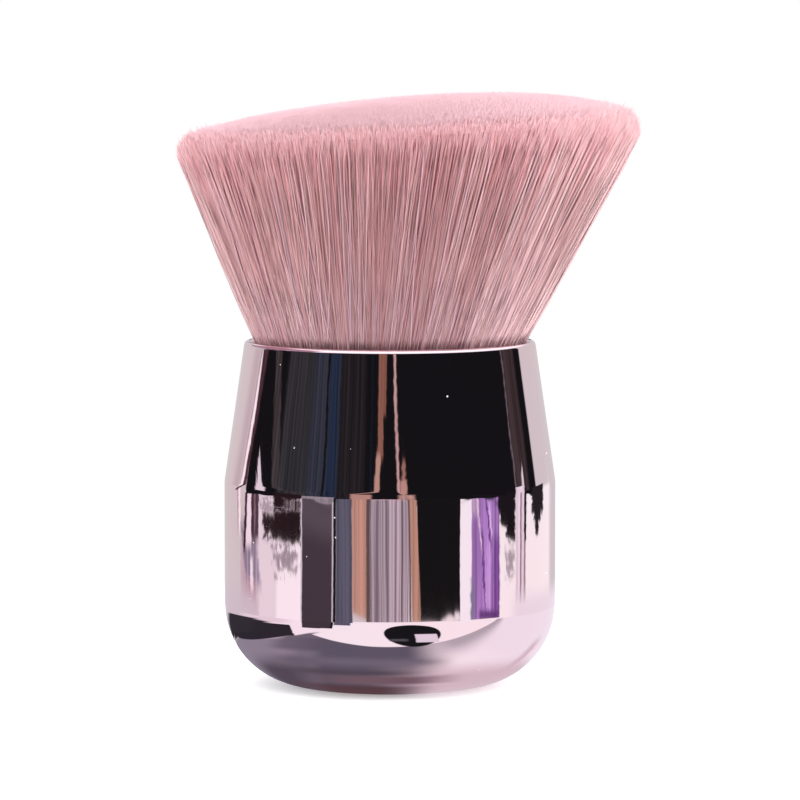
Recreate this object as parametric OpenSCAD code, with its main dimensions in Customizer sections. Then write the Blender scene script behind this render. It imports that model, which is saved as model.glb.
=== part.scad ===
// Powder brush: a weighted handle with a mirror shell, and a flared, domed head of soft bristles.
// Millimetres, +Z up. The origin is the middle of the base, and the head leans towards +X.

/* [Handle shell] */
// Outer diameter of the straight wall
body_d = 46; // [43:0.5:56]
// Height from the base to the lip
body_h = 47.8; // [44:0.2:60]
// Height at which the straight wall turns into the taper
belly_h = 28.3; // [18:0.1:34]
// How far the wall leans in, on each side, from the straight wall to the lip
taper_in = 2.75; // [1.5:0.05:4]
// Radius between the base and the wall
base_round = 11.2; // [6:0.2:13]
// Radius of the soft edge where the taper starts
crease_round = 7; // [1:0.5:12]
// Thickness of the wall at the lip, which is fully rounded
lip_wall = 0.8; // [0.6:0.05:1.4]
// Thickness of the floor
floor_t = 3; // [2:0.2:5]

/* [Counterweight] */
// Width of the ledge between the bore and the pocket for the counterweight
ledge_w = 3.25; // [2.5:0.05:8]
// Thickness of the steel disc
weight_h = 5; // [2:0.5:8]
// Chamfer round the edges of the steel disc
weight_chamfer = 0.6; // [0.2:0.1:0.9]
// Thickness of the foam pad under the disc
pad_h = 1; // [0.5:0.1:2]

/* [Inner core] */
// Thickness of the core's outer wall
core_wall = 1.6; // [1:0.1:2.4]
// Thickness of the core's floor, which holds the counterweight down
core_floor = 1.6; // [1:0.1:3]
// Bore of the hub where the ribs meet
hub_bore = 5; // [2:0.5:8]
// Thickness of the hub's wall
hub_wall = 2; // [1:0.1:3]
// Thickness of each rib
rib_t = 1.4; // [0.8:0.1:2.4]
// Number of ribs
rib_count = 6; // [3:1:10]

/* [Ferrule] */
// Thickness of the drawn metal
ferrule_wall = 0.4; // [0.3:0.05:0.8]
// Outer height of the cup
ferrule_depth = 16.6; // [12:0.2:20]
// How far the cup's rim lies below the lip
ferrule_sink = 0.4; // [0.2:0.05:0.6]

/* [Bristle root] */
// Depth of resin in the cup
potting_h = 5; // [2:0.2:7]
// Height of the binding round the root
band_h = 3; // [1:0.2:5]
// How far the packed root's top lies below the lip
root_sink = 0.9; // [0.7:0.1:1.2]

/* [Bristle head] */
// Width of the head from side to side
head_w = 66.2; // [50:0.2:76]
// Width of the head from front to back
head_depth = 61.6; // [46:0.2:70]
// Sideways offset of the head's middle from the handle's axis
head_lean = 2.7; // [0:0.1:6]
// Height of the head's edge above the lip, at its middle
head_edge_h = 27.6; // [18:0.2:40]
// How much higher the far side's edge is than the near side's
head_edge_rise = 2.8; // [0:0.1:8]
// Height of the dome above the edge
dome_h = 6.4; // [2:0.1:12]
// Length of the point that ends each strand
tip_h = 1.4; // [0.6:0.1:3]
// Strands across the head, which is also their number from front to back
strand_rows = 21; // [18:1:22]

/* [Clearances] */
// Least gap between the cup's rim and the bristles that lean out over it
rim_gap = 0.3; // [0.1:0.05:0.5]
// Glue line round the ferrule, the resin and the binding
glue_gap = 0.05; // [0.02:0.01:0.1]
// Sliding gap round the counterweight, its pad and the core
slide_gap = 0.2; // [0.1:0.05:0.4]

/* [Hidden] */

// How much of its cell a strand fills, from side to side
strand_fill_share = 0.84;
// Corners of a strand where its point begins, and the point's end
strand_points = 5;
// How much higher the dome is towards the far side, and how square its shoulder is
dome_skew_share = 0.15;
dome_power_share = 0.42;

// Smoothness of the turned shapes and of the arcs in their outlines
$fn = 96;
base_steps = 18;
crease_steps = 3;
lip_steps = 8;
// Cuts run past the faces that they open by this much
overrun = 0.5;

body_r = body_d / 2;
mouth_r = body_r - taper_in;
bore_r = mouth_r - lip_wall;
lip_r = lip_wall / 2;
lip_z = body_h - lip_r;
taper_angle = atan2(taper_in, lip_z - belly_h);

pocket_r = bore_r - ledge_w;
weight_r = pocket_r - slide_gap;
pad_z = floor_t;
weight_z = pad_z + pad_h;
ledge_z = weight_z + weight_h;

cup_r = bore_r - glue_gap;
cup_inner_r = cup_r - ferrule_wall;
cup_top = body_h - ferrule_sink;
cup_z = cup_top - ferrule_depth;
core_r = bore_r - slide_gap;
core_h = cup_z - ledge_z;

potting_z = cup_z + ferrule_wall;
root_z = potting_z + potting_h;
root_top = body_h - root_sink;

// The packed root is as wide as the outermost, most slanted bristles may be to clear the cup's rim
tip_reach = head_w / 2 + head_lean;
rim_share = (cup_top - root_top) / (body_h + head_edge_h + head_edge_rise / 2 - root_top);
root_r = (cup_inner_r - rim_gap - tip_reach * rim_share) / (1 - rim_share);

// Points along an arc, from one angle to another
function arc(centre, r, from, to, steps) =
    [for (i = [0 : steps])
        let (a = from + (to - from) * i / steps)
        [centre.x + r * cos(a), centre.y + r * sin(a)]];

// The arc that softens the corner between the wall and the taper
function crease() =
    let (back = crease_round * tan(taper_angle / 2))
    arc([body_r - crease_round, belly_h - back], crease_round, 0, taper_angle, crease_steps);

// Right half of the shell's outer outline, filled to the axis
module shell_outline() {
    polygon(concat(
        [[0, 0]],
        arc([body_r - base_round, base_round], base_round, -90, 0, base_steps),
        crease(),
        arc([mouth_r - lip_r, lip_z], lip_r, taper_angle, 180, lip_steps),
        [[0, lip_z]]));
}

// Plated shell: one moulding, closed at the base, with a pocket, a ledge and a straight bore
module handle_shell() {
    color([0.86, 0.72, 0.74])
    difference() {
        rotate_extrude() shell_outline();
        translate([0, 0, floor_t]) cylinder(r = pocket_r, h = body_h);
        translate([0, 0, ledge_z]) cylinder(r = bore_r, h = body_h);
    }
}

// Foam pad that keeps the counterweight quiet
module weight_pad() {
    color([0.25, 0.25, 0.27])
    translate([0, 0, pad_z]) cylinder(r = weight_r, h = pad_h);
}

// Steel disc that makes the brush stand by itself
module counterweight() {
    r = weight_r;
    c = weight_chamfer;
    color([0.62, 0.63, 0.65])
    translate([0, 0, weight_z]) rotate_extrude()
        polygon([[0, 0], [r - c, 0], [r, c], [r, weight_h - c], [r - c, weight_h], [0, weight_h]]);
}

// Outline of the hollows between the core's outer wall, its hub and its ribs
module core_hollows() {
    difference() {
        circle(r = core_r - core_wall);
        circle(r = hub_bore / 2 + hub_wall);
        for (i = [0 : rib_count - 1])
            rotate(360 * i / rib_count) translate([0, -rib_t / 2]) square([core_r, rib_t]);
    }
}

// Ribbed spacer that clamps the counterweight and carries the ferrule
module inner_core() {
    color([0.93, 0.92, 0.9])
    translate([0, 0, ledge_z]) difference() {
        cylinder(r = core_r, h = core_h);
        translate([0, 0, core_floor]) linear_extrude(core_h) core_hollows();
        translate([0, 0, core_floor]) cylinder(d = hub_bore, h = core_h);
    }
}

// Drawn aluminium cup that holds the root of the bristles
module ferrule_cup() {
    color([0.88, 0.82, 0.82])
    translate([0, 0, cup_z]) difference() {
        cylinder(r = cup_r, h = ferrule_depth);
        translate([0, 0, ferrule_wall]) cylinder(r = cup_inner_r, h = ferrule_depth);
    }
}

// Resin that bonds the bristles' ends to the cup
module root_potting() {
    color([0.85, 0.78, 0.6])
    translate([0, 0, potting_z]) cylinder(r = cup_inner_r - glue_gap, h = potting_h);
}

// Thread wound round the packed root
module binding_band() {
    color([0.95, 0.94, 0.92])
    translate([0, 0, root_z]) difference() {
        cylinder(r = cup_inner_r - glue_gap, h = band_h);
        translate([0, 0, -overrun]) cylinder(r = root_r + glue_gap, h = band_h + 2 * overrun);
    }
}

// A square's point, each side from -1 to 1, carried to the unit disc ring by ring
function disc(a, b) =
    a == 0 && b == 0 ? [0, 0]
    : abs(a) > abs(b) ? a * [cos(45 * b / a), sin(45 * b / a)]
    : b * [sin(45 * a / b), cos(45 * a / b)];

// Where a strand leaves the packed root, at the given height
function root_point(a, b, z) = let (p = disc(a, b)) [root_r * p.x, root_r * p.y, z];

// Where a strand ends, on the domed top of the head
function tip_point(a, b) =
    let (p = disc(a, b),
         rise = dome_h * pow(max(0, 1 - p * p), dome_power_share) * (1 + dome_skew_share * p.x))
    [head_lean + head_w / 2 * p.x,
     head_depth / 2 * p.y,
     body_h + head_edge_h + head_edge_rise / 2 * p.x + rise];

// A corner of a strand where its point begins
function shoulder_point(a, b) =
    let (start = root_point(a, b, root_top), end = tip_point(a, b))
    end + (start - end) * tip_h / norm(end - start);

// The sides of the strands and of the gaps between them, across the square
gap_half = (1 - strand_fill_share) / strand_rows;
function strand_side(i, side) = (2 * i + 1 + side - strand_rows) / strand_rows - side * gap_half;
lines = concat([-1],
    [for (i = [0 : strand_rows - 1]) for (side = [-1, 1]) strand_side(i, side)],
    [1]);
line_count = len(lines);

// The root's top is a grid of these lines. Odd cells of the grid are open, and a strand rises from each
function grid_index(i, j) = i * line_count + j;
last = line_count - 1;
rim_count = 4 * last;
function rim_place(k) =
    let (side = floor(k / last), at = k % last)
    side == 0 ? [at, 0] : side == 1 ? [last, at] : side == 2 ? [last - at, last] : [0, last - at];

// Bristles: the packed root with every strand fused to it, as one closed surface of triangles
module bristle_tuft() {
    grid = [for (a = lines) for (b = lines) root_point(a, b, root_top)];
    rim = [for (k = [0 : rim_count - 1])
        let (at = rim_place(k)) root_point(lines[at.x], lines[at.y], root_z)];
    strands = [for (i = [0 : strand_rows - 1]) for (j = [0 : strand_rows - 1])
        let (a0 = lines[2 * i + 1], a1 = lines[2 * i + 2], b0 = lines[2 * j + 1], b1 = lines[2 * j + 2])
        each [shoulder_point(a0, b0), shoulder_point(a1, b0), shoulder_point(a1, b1),
              shoulder_point(a0, b1), tip_point((a0 + a1) / 2, (b0 + b1) / 2)]];

    rim_start = len(grid);
    floor_middle = rim_start + rim_count;
    strand_start = floor_middle + 1;

    top_faces = [for (i = [0 : last - 1]) for (j = [0 : last - 1])
        if (i % 2 == 0 || j % 2 == 0)
        let (p = grid_index(i, j), q = grid_index(i + 1, j),
             r = grid_index(i + 1, j + 1), s = grid_index(i, j + 1))
        each [[p, r, q], [p, s, r]]];
    side_faces = [for (k = [0 : rim_count - 1])
        let (next = (k + 1) % rim_count, at = rim_place(k), to = rim_place(next),
             p = grid_index(at.x, at.y), q = grid_index(to.x, to.y))
        each [[p, q, rim_start + next], [p, rim_start + next, rim_start + k]]];
    floor_faces = [for (k = [0 : rim_count - 1])
        [rim_start + k, rim_start + (k + 1) % rim_count, floor_middle]];
    strand_faces = [for (i = [0 : strand_rows - 1]) for (j = [0 : strand_rows - 1])
        let (g = [grid_index(2 * i + 1, 2 * j + 1), grid_index(2 * i + 2, 2 * j + 1),
                  grid_index(2 * i + 2, 2 * j + 2), grid_index(2 * i + 1, 2 * j + 2)],
             s = strand_start + strand_points * (i * strand_rows + j),
             tip = s + strand_points - 1)
        for (k = [0 : 3])
        let (next = (k + 1) % 4)
        each [[g[k], s + next, g[next]], [g[k], s + k, s + next], [s + k, tip, s + next]]];

    color([0.93, 0.68, 0.73])
    polyhedron(
        points = concat(grid, rim, [[0, 0, root_z]], strands),
        faces = concat(top_faces, side_faces, floor_faces, strand_faces));
}

handle_shell();
weight_pad();
counterweight();
inner_core();
ferrule_cup();
root_potting();
binding_band();
bristle_tuft();
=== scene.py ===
"""Powder brush: a weighted, mirror-plated handle and a flared, domed head of fine bristles.

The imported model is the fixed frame. Every size here is in metres, in the frame's own axes: +Z up,
the origin in the middle of the base, and the head leaning towards +X.
"""

import logging
import math
from dataclasses import dataclass, field
from enum import Enum
from functools import cached_property

import bmesh
import bpy
import numpy as np
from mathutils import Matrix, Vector, kdtree


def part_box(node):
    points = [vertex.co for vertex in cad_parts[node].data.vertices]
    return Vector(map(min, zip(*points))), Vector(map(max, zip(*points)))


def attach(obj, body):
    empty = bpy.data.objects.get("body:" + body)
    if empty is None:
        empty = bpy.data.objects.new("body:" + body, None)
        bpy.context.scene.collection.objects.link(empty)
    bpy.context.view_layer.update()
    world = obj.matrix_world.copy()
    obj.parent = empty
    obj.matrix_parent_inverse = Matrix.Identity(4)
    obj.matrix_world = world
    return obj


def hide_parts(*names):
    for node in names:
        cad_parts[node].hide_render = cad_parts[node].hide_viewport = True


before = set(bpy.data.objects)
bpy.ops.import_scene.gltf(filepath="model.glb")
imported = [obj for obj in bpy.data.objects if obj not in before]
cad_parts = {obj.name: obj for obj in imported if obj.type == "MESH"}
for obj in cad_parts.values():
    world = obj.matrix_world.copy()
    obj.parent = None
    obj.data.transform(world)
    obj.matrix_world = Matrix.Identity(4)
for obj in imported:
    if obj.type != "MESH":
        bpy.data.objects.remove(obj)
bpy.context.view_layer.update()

LOG = logging.getLogger("powder_brush")
MM = 0.001
SAME_PLACE = 0.0005 * MM
FULL_TURN = 2 * math.pi
QUARTER_TURN = math.pi / 2
NOTHING = 1e-6
NEARLY = 1e-4
GOLDEN_TURN = math.pi * (3.0 - math.sqrt(5.0))
UP = np.array([0.0, 0.0, 1.0])
WHITE = (1.0, 1.0, 1.0)
BODY = "root"
STRAND_MAP = "OFBake"
MAP_INSET = 0.001
NOISE_SPAN = (0.3, 0.7)

Triple = tuple[float, float, float]
Colour = Triple
Range = tuple[float, float]
Outline = list[tuple[float, float]]
Piece = bpy.types.Object
Mesh = bpy.types.Mesh
Material = bpy.types.Material
Socket = bpy.types.NodeSocket


class Slot(Enum):
    """The record's material slots."""

    SHELL = "plated_shell"
    FOAM = "foam"
    STEEL = "weight_steel"
    CORE = "core_plastic"
    FERRULE = "ferrule_metal"
    RESIN = "resin"
    THREAD = "thread"
    BRISTLES = "bristles"


class Rays(Enum):
    """Which rays see a piece of the studio."""

    ALL_BUT_GLOSSY = "all_but_glossy"
    GLOSSY = "glossy"


def smooth_step(low: float, high: float, value: np.ndarray) -> np.ndarray:
    """A soft step.

    Args:
        low: Where the step starts.
        high: Where the step ends.
        value: Where to read it.

    Returns:
        0 before low, 1 after high, and a smooth rise between them.
    """
    t = np.clip((value - low) / (high - low), 0.0, 1.0)
    return t * t * (3.0 - 2.0 * t)


def hump(zones: tuple[Range, Range], value: np.ndarray) -> np.ndarray:
    """A soft rise over the first zone and a soft fall over the second, between 0 and 1."""
    return smooth_step(*zones[0], value) * (1.0 - smooth_step(*zones[1], value))


def directions(vectors: np.ndarray) -> np.ndarray:
    """The vectors of the last axis at length 1."""
    return vectors / np.linalg.norm(vectors, axis=-1, keepdims=True)


def dress(piece: Piece, material: Material) -> None:
    """Gives a piece its material.

    Args:
        piece: The object to dress.
        material: What it is made of.
    """
    piece.data.materials.clear()
    piece.data.materials.append(material)


def place(mesh: Mesh) -> Piece:
    """Puts a mesh into the scene at the origin, as a piece of the same name.

    Args:
        mesh: The finished mesh, in the frame's axes.

    Returns:
        The new object.
    """
    piece = bpy.data.objects.new(mesh.name, mesh)
    bpy.context.scene.collection.objects.link(piece)
    return piece


def join_body(piece: Piece, *nodes: str) -> None:
    """Makes a piece ride on the object's one body and stand for the solids that it replaces.

    Args:
        piece: The new piece.
        nodes: Names of the solids that it stands for.
    """
    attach(piece, BODY)
    if nodes:
        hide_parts(*nodes)
    LOG.info("%s: %d faces", piece.name, len(piece.data.polygons))


class Nodes:
    """A short way to build one node tree."""

    def __init__(self, tree: bpy.types.NodeTree) -> None:
        """Keeps the tree that the nodes go into."""
        self.tree = tree

    def add(self, kind: str, **settings: object) -> bpy.types.Node:
        """Adds a node.

        Args:
            kind: The node's type without its ShaderNode prefix.
            settings: Properties of the node.

        Returns:
            The node.
        """
        node = self.tree.nodes.new("ShaderNode" + kind)
        for name, value in settings.items():
            setattr(node, name, value)
        return node

    def link(self, source: Socket, target: Socket) -> None:
        """Joins two sockets."""
        self.tree.links.new(source, target)

    def feed(self, target: Socket, value: object) -> None:
        """Sets a socket, or links it where the value is another socket.

        Args:
            target: The input socket.
            value: A number, a colour or an output socket.
        """
        if isinstance(value, Socket):
            self.link(value, target)
        else:
            target.default_value = value

    def maths(self, operation: str, a: object, b: object = 0.0) -> Socket:
        """Adds a Math node.

        Args:
            operation: What it does.
            a: First number or socket.
            b: Second number or socket.

        Returns:
            The node's result.
        """
        node = self.add("Math", operation=operation)
        self.feed(node.inputs[0], a)
        self.feed(node.inputs[1], b)
        return node.outputs[0]

    def spread(
        self, value: object, source: Range, target: Range = (0.0, 1.0),
    ) -> Socket:
        """Carries a value smoothly from one range to another.

        Args:
            value: A number or socket.
            source: The range that it comes from.
            target: The range that it goes to.

        Returns:
            The carried value.
        """
        node = self.add("MapRange", interpolation_type="SMOOTHSTEP")
        self.feed(node.inputs["Value"], value)
        node.inputs["From Min"].default_value, node.inputs["From Max"].default_value = source
        node.inputs["To Min"].default_value, node.inputs["To Max"].default_value = target
        return node.outputs["Result"]

    def mix(self, share: object, a: object, b: object) -> Socket:
        """Mixes two colours.

        Args:
            share: How much of the second colour there is.
            a: First colour or socket.
            b: Second colour or socket.

        Returns:
            The mixed colour.
        """
        node = self.add("Mix", data_type="RGBA")
        self.feed(node.inputs["Factor"], share)
        for socket, value in ((node.inputs[6], a), (node.inputs[7], b)):
            is_socket = isinstance(value, Socket)
            self.feed(socket, value if is_socket else (*value, 1.0))
        return node.outputs[2]

    def noise(self, where: object, scale: object, detail: float = 2.0) -> Socket:
        """Adds a Noise texture.

        Args:
            where: The coordinates' socket.
            scale: How many features there are in a unit, as a number or a socket.
            detail: How many finer layers it has.

        Returns:
            The noise's value.
        """
        node = self.add("TexNoise")
        self.feed(node.inputs["Vector"], where)
        self.feed(node.inputs["Scale"], scale)
        node.inputs["Detail"].default_value = detail
        return node.outputs["Fac"]

    def split(self, kind: str, value: object) -> bpy.types.bpy_prop_collection:
        """Takes a vector or a colour apart.

        Args:
            kind: XYZ for a vector or Color for a colour.
            value: The socket to take apart.

        Returns:
            The parts' sockets by name.
        """
        node = self.add("Separate" + kind)
        self.feed(node.inputs[0], value)
        return node.outputs

    def length(self, where: object) -> Socket:
        """Measures how far coordinates lie from the origin."""
        node = self.add("VectorMath", operation="LENGTH")
        self.feed(node.inputs[0], where)
        return node.outputs["Value"]

    def glow(self, colour: object, strength: object = 1.0) -> Socket:
        """Adds a glowing shader.

        Args:
            colour: Its colour or socket.
            strength: How strongly it glows, as a number or a socket.

        Returns:
            The shader's socket.
        """
        node = self.add("Emission")
        is_socket = isinstance(colour, Socket)
        self.feed(node.inputs["Color"], colour if is_socket else (*colour, 1.0))
        self.feed(node.inputs["Strength"], strength)
        return node.outputs[0]

    def between(self, share: object, first: object, second: object) -> Socket:
        """Mixes two shaders.

        Args:
            share: How much of the second shader there is.
            first: The first shader's socket.
            second: The second shader's socket.

        Returns:
            The mixed shader's socket.
        """
        node = self.add("MixShader")
        for target, value in zip(node.inputs, (share, first, second)):
            self.feed(target, value)
        return node.outputs[0]

    def surface(self, shader: Socket) -> None:
        """Makes a shader the material's surface."""
        self.link(shader, self.tree.nodes["Material Output"].inputs["Surface"])

    def stretched(self, where: object, stretch: Triple) -> Socket:
        """Scales coordinates along each axis.

        Args:
            where: The coordinates' socket.
            stretch: The factor along each axis.

        Returns:
            The scaled coordinates.
        """
        node = self.add("Mapping")
        self.feed(node.inputs["Vector"], where)
        node.inputs["Scale"].default_value = stretch
        return node.outputs["Vector"]


def bare_material(name: str) -> tuple[Material, Nodes]:
    """Makes a material with no shader yet.

    Args:
        name: The material's name.

    Returns:
        The material and its node builder.
    """
    material = bpy.data.materials.new(name)
    material.use_nodes = True
    nodes = Nodes(material.node_tree)
    nodes.tree.nodes.remove(nodes.tree.nodes["Principled BSDF"])
    return material, nodes


@dataclass
class SurfaceGroups:
    """Shader groups for effects that more than one finish uses."""

    speck_size: float = 0.09
    hairline_stretch: Triple = (60.0, 60.0, 4200.0)
    hairline_span: Range = (0.56, 0.74)
    wiped_scale: float = 140.0
    wiped_span: Range = (0.45, 0.7)
    grain_detail: float = 4.0
    tone_scale: float = 90.0
    oval_edge: Range = (0.94, 1.06)

    @staticmethod
    def open_group(
        name: str, inputs: dict[str, float], outputs: tuple[str, ...],
    ) -> tuple[Nodes, dict, dict]:
        """Makes an empty group with its sockets.

        Args:
            name: The group's name.
            inputs: Each number input with its default.
            outputs: The names of the number outputs.

        Returns:
            The group's node builder, its input sockets and its output sockets by name.
        """
        tree = bpy.data.node_groups.new(name, "ShaderNodeTree")
        tree.interface.new_socket("Vector", in_out="INPUT", socket_type="NodeSocketVector")
        for label, default in inputs.items():
            socket = tree.interface.new_socket(label, in_out="INPUT", socket_type="NodeSocketFloat")
            socket.default_value = default
        for label in outputs:
            tree.interface.new_socket(label, in_out="OUTPUT", socket_type="NodeSocketFloat")
        nodes = Nodes(tree)
        start = tree.nodes.new("NodeGroupInput")
        end = tree.nodes.new("NodeGroupOutput")
        return nodes, {s.name: s for s in start.outputs}, {s.name: s for s in end.inputs}

    @cached_property
    def specks(self) -> bpy.types.NodeTree:
        """Fine dust: a mask of small, sparse spots."""
        nodes, given, out = self.open_group("specks", {"Scale": 0.0, "Amount": 0.0}, ("Mask",))
        cells = nodes.add("TexVoronoi", feature="F1")
        nodes.link(given["Vector"], cells.inputs["Vector"])
        nodes.link(given["Scale"], cells.inputs["Scale"])
        chosen = nodes.split("Color", cells.outputs["Color"])
        kept = nodes.maths("LESS_THAN", chosen["Red"], given["Amount"])
        size = nodes.maths("MULTIPLY", chosen["Green"], self.speck_size)
        near = nodes.maths("LESS_THAN", cells.outputs["Distance"], size)
        nodes.link(nodes.maths("MULTIPLY", kept, near), out["Mask"])
        return nodes.tree

    @cached_property
    def hairlines(self) -> bpy.types.NodeTree:
        """Fine wiping marks: a mask of thin lines round the piece, broken up by patches."""
        nodes, given, out = self.open_group("hairlines", {"Amount": 0.0}, ("Mask",))
        fine = nodes.noise(nodes.stretched(given["Vector"], self.hairline_stretch), 1.0, 3.0)
        lines = nodes.spread(fine, self.hairline_span)
        wiped = nodes.spread(nodes.noise(given["Vector"], self.wiped_scale), self.wiped_span)
        mask = nodes.maths("MULTIPLY", nodes.maths("MULTIPLY", lines, wiped), given["Amount"])
        nodes.link(mask, out["Mask"])
        return nodes.tree

    @cached_property
    def grain(self) -> bpy.types.NodeTree:
        """Moulded or cast grain: a fine height and a slow tone."""
        nodes, given, out = self.open_group("grain", {"Scale": 0.0}, ("Height", "Tone"))
        fine = nodes.noise(given["Vector"], given["Scale"], self.grain_detail)
        nodes.link(fine, out["Height"])
        nodes.link(nodes.noise(given["Vector"], self.tone_scale), out["Tone"])
        return nodes.tree

    @cached_property
    def patch(self) -> bpy.types.NodeTree:
        """A soft-edged patch: masks of a rectangle and of an oval in turn and rise."""
        names = ("Turn", "Rise", "Sway", "Bob", "Turn Low", "Turn High", "Turn Soft",
                 "Rise Low", "Rise High", "Rise Soft", "Ragged")
        inputs = {name: 0.0 for name in names}
        nodes, given, out = self.open_group("patch", inputs, ("Mask", "Oval"))
        masks, squares = [], []
        for axis, shift in (("Turn", "Sway"), ("Rise", "Bob")):
            wander = nodes.maths("MULTIPLY", given[shift], given["Ragged"])
            moved = nodes.maths("ADD", given[axis], wander)
            low, high, soft = (given[axis + end] for end in (" Low", " High", " Soft"))
            steps = []
            for edge in (low, high):
                step = nodes.add("MapRange", interpolation_type="SMOOTHSTEP")
                nodes.link(moved, step.inputs["Value"])
                nodes.link(nodes.maths("SUBTRACT", edge, soft), step.inputs["From Min"])
                nodes.link(nodes.maths("ADD", edge, soft), step.inputs["From Max"])
                steps.append(step.outputs["Result"])
            masks.append(nodes.maths("SUBTRACT", steps[0], steps[1]))
            middle = nodes.maths("MULTIPLY", nodes.maths("ADD", low, high), 0.5)
            half = nodes.maths("MULTIPLY", nodes.maths("SUBTRACT", high, low), 0.5)
            off = nodes.maths("DIVIDE", nodes.maths("SUBTRACT", moved, middle), half)
            squares.append(nodes.maths("MULTIPLY", off, off))
        nodes.link(nodes.maths("MULTIPLY", masks[0], masks[1]), out["Mask"])
        reach = nodes.maths("ADD", squares[0], squares[1])
        nodes.link(nodes.spread(reach, self.oval_edge, (1.0, 0.0)), out["Oval"])
        return nodes.tree


GROUPS = SurfaceGroups()


class Finish:
    """What every finish shares: a material with one Principled shader."""

    name: str

    def start(self) -> tuple[Material, Nodes, bpy.types.Node]:
        """Makes the material.

        Returns:
            The material, its node builder and its Principled shader.
        """
        material = bpy.data.materials.new(self.name)
        material.use_nodes = True
        shader = material.node_tree.nodes["Principled BSDF"]
        return material, Nodes(material.node_tree), shader

    @staticmethod
    def use_group(nodes: Nodes, tree: bpy.types.NodeTree, where: object, **values: float) -> dict:
        """Places a shared group.

        Args:
            nodes: The material's node builder.
            tree: The group.
            where: The coordinates' socket.
            values: Numbers for the group's inputs.

        Returns:
            The group's outputs by name.
        """
        node = nodes.add("Group", node_tree=tree)
        nodes.link(where, node.inputs["Vector"])
        for label, value in values.items():
            node.inputs[label].default_value = value
        return {s.name: s for s in node.outputs}

    @staticmethod
    def bump(
        nodes: Nodes, shader: bpy.types.Node, height: object, strength: float, depth: float,
    ) -> None:
        """Feeds the shader's normal with a bump.

        Args:
            nodes: The material's node builder.
            shader: The Principled shader.
            height: The height's socket.
            strength: The bump's strength.
            depth: The height's real size, in metres.
        """
        node = nodes.add("Bump")
        node.inputs["Strength"].default_value = strength
        node.inputs["Distance"].default_value = depth
        nodes.link(height, node.inputs["Height"])
        nodes.link(node.outputs["Normal"], shader.inputs["Normal"])


@dataclass(frozen=True)
class PlatedFinish(Finish):
    """Mirror plating under a tinted lacquer, with dust, wiping marks and a faint waviness."""

    name: str = "rose_mirror_plating"
    tint: Colour = (0.93, 0.80, 0.85)
    warm_tint: Colour = (0.95, 0.78, 0.82)
    dust: Colour = (0.80, 0.78, 0.78)
    roughness: Range = (0.02, 0.09)
    dust_scale: float = 520.0
    dust_amount: float = 0.35
    dust_metal: float = 0.15
    wiping: float = 0.3
    tint_scale: float = 45.0
    tint_span: Range = (0.35, 0.65)
    wave_stretch: Triple = (1.0, 1.0, 0.35)
    wave_scale: float = 130.0
    wave_depth: float = 0.07 * MM
    crease_height: float = 28.2 * MM
    crease_reach: float = 2.6 * MM
    dent_scale: float = 260.0
    dent_share: float = 0.22

    def build(self) -> Material:
        """Builds the material."""
        material, nodes, shader = self.start()
        where = nodes.add("TexCoord").outputs["Object"]
        specks = self.use_group(
            nodes, GROUPS.specks, where, Scale=self.dust_scale, Amount=self.dust_amount,
        )["Mask"]
        lines = self.use_group(nodes, GROUPS.hairlines, where, Amount=self.wiping)["Mask"]
        slow = nodes.spread(nodes.noise(where, self.tint_scale, 1.0), self.tint_span)
        tint = nodes.mix(slow, self.tint, self.warm_tint)
        nodes.link(nodes.mix(specks, tint, self.dust), shader.inputs["Base Color"])
        metal = nodes.spread(specks, (0.0, 1.0), (1.0, self.dust_metal))
        nodes.link(metal, shader.inputs["Metallic"])
        worn = nodes.maths("MAXIMUM", lines, specks)
        nodes.link(nodes.spread(worn, (0.0, 1.0), self.roughness), shader.inputs["Roughness"])
        wave = nodes.noise(nodes.stretched(where, self.wave_stretch), self.wave_scale, 1.0)
        height = nodes.split("XYZ", where)["Z"]
        off = nodes.maths("ABSOLUTE", nodes.maths("SUBTRACT", height, self.crease_height))
        dents = nodes.maths("SUBTRACT", nodes.noise(where, self.dent_scale, 1.0), 0.5)
        near = nodes.spread(off, (0.0, self.crease_reach), (self.dent_share, 0.0))
        dents = nodes.maths("MULTIPLY", dents, near)
        self.bump(nodes, shader, nodes.maths("ADD", wave, dents), 1.0, self.wave_depth)
        return material


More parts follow.
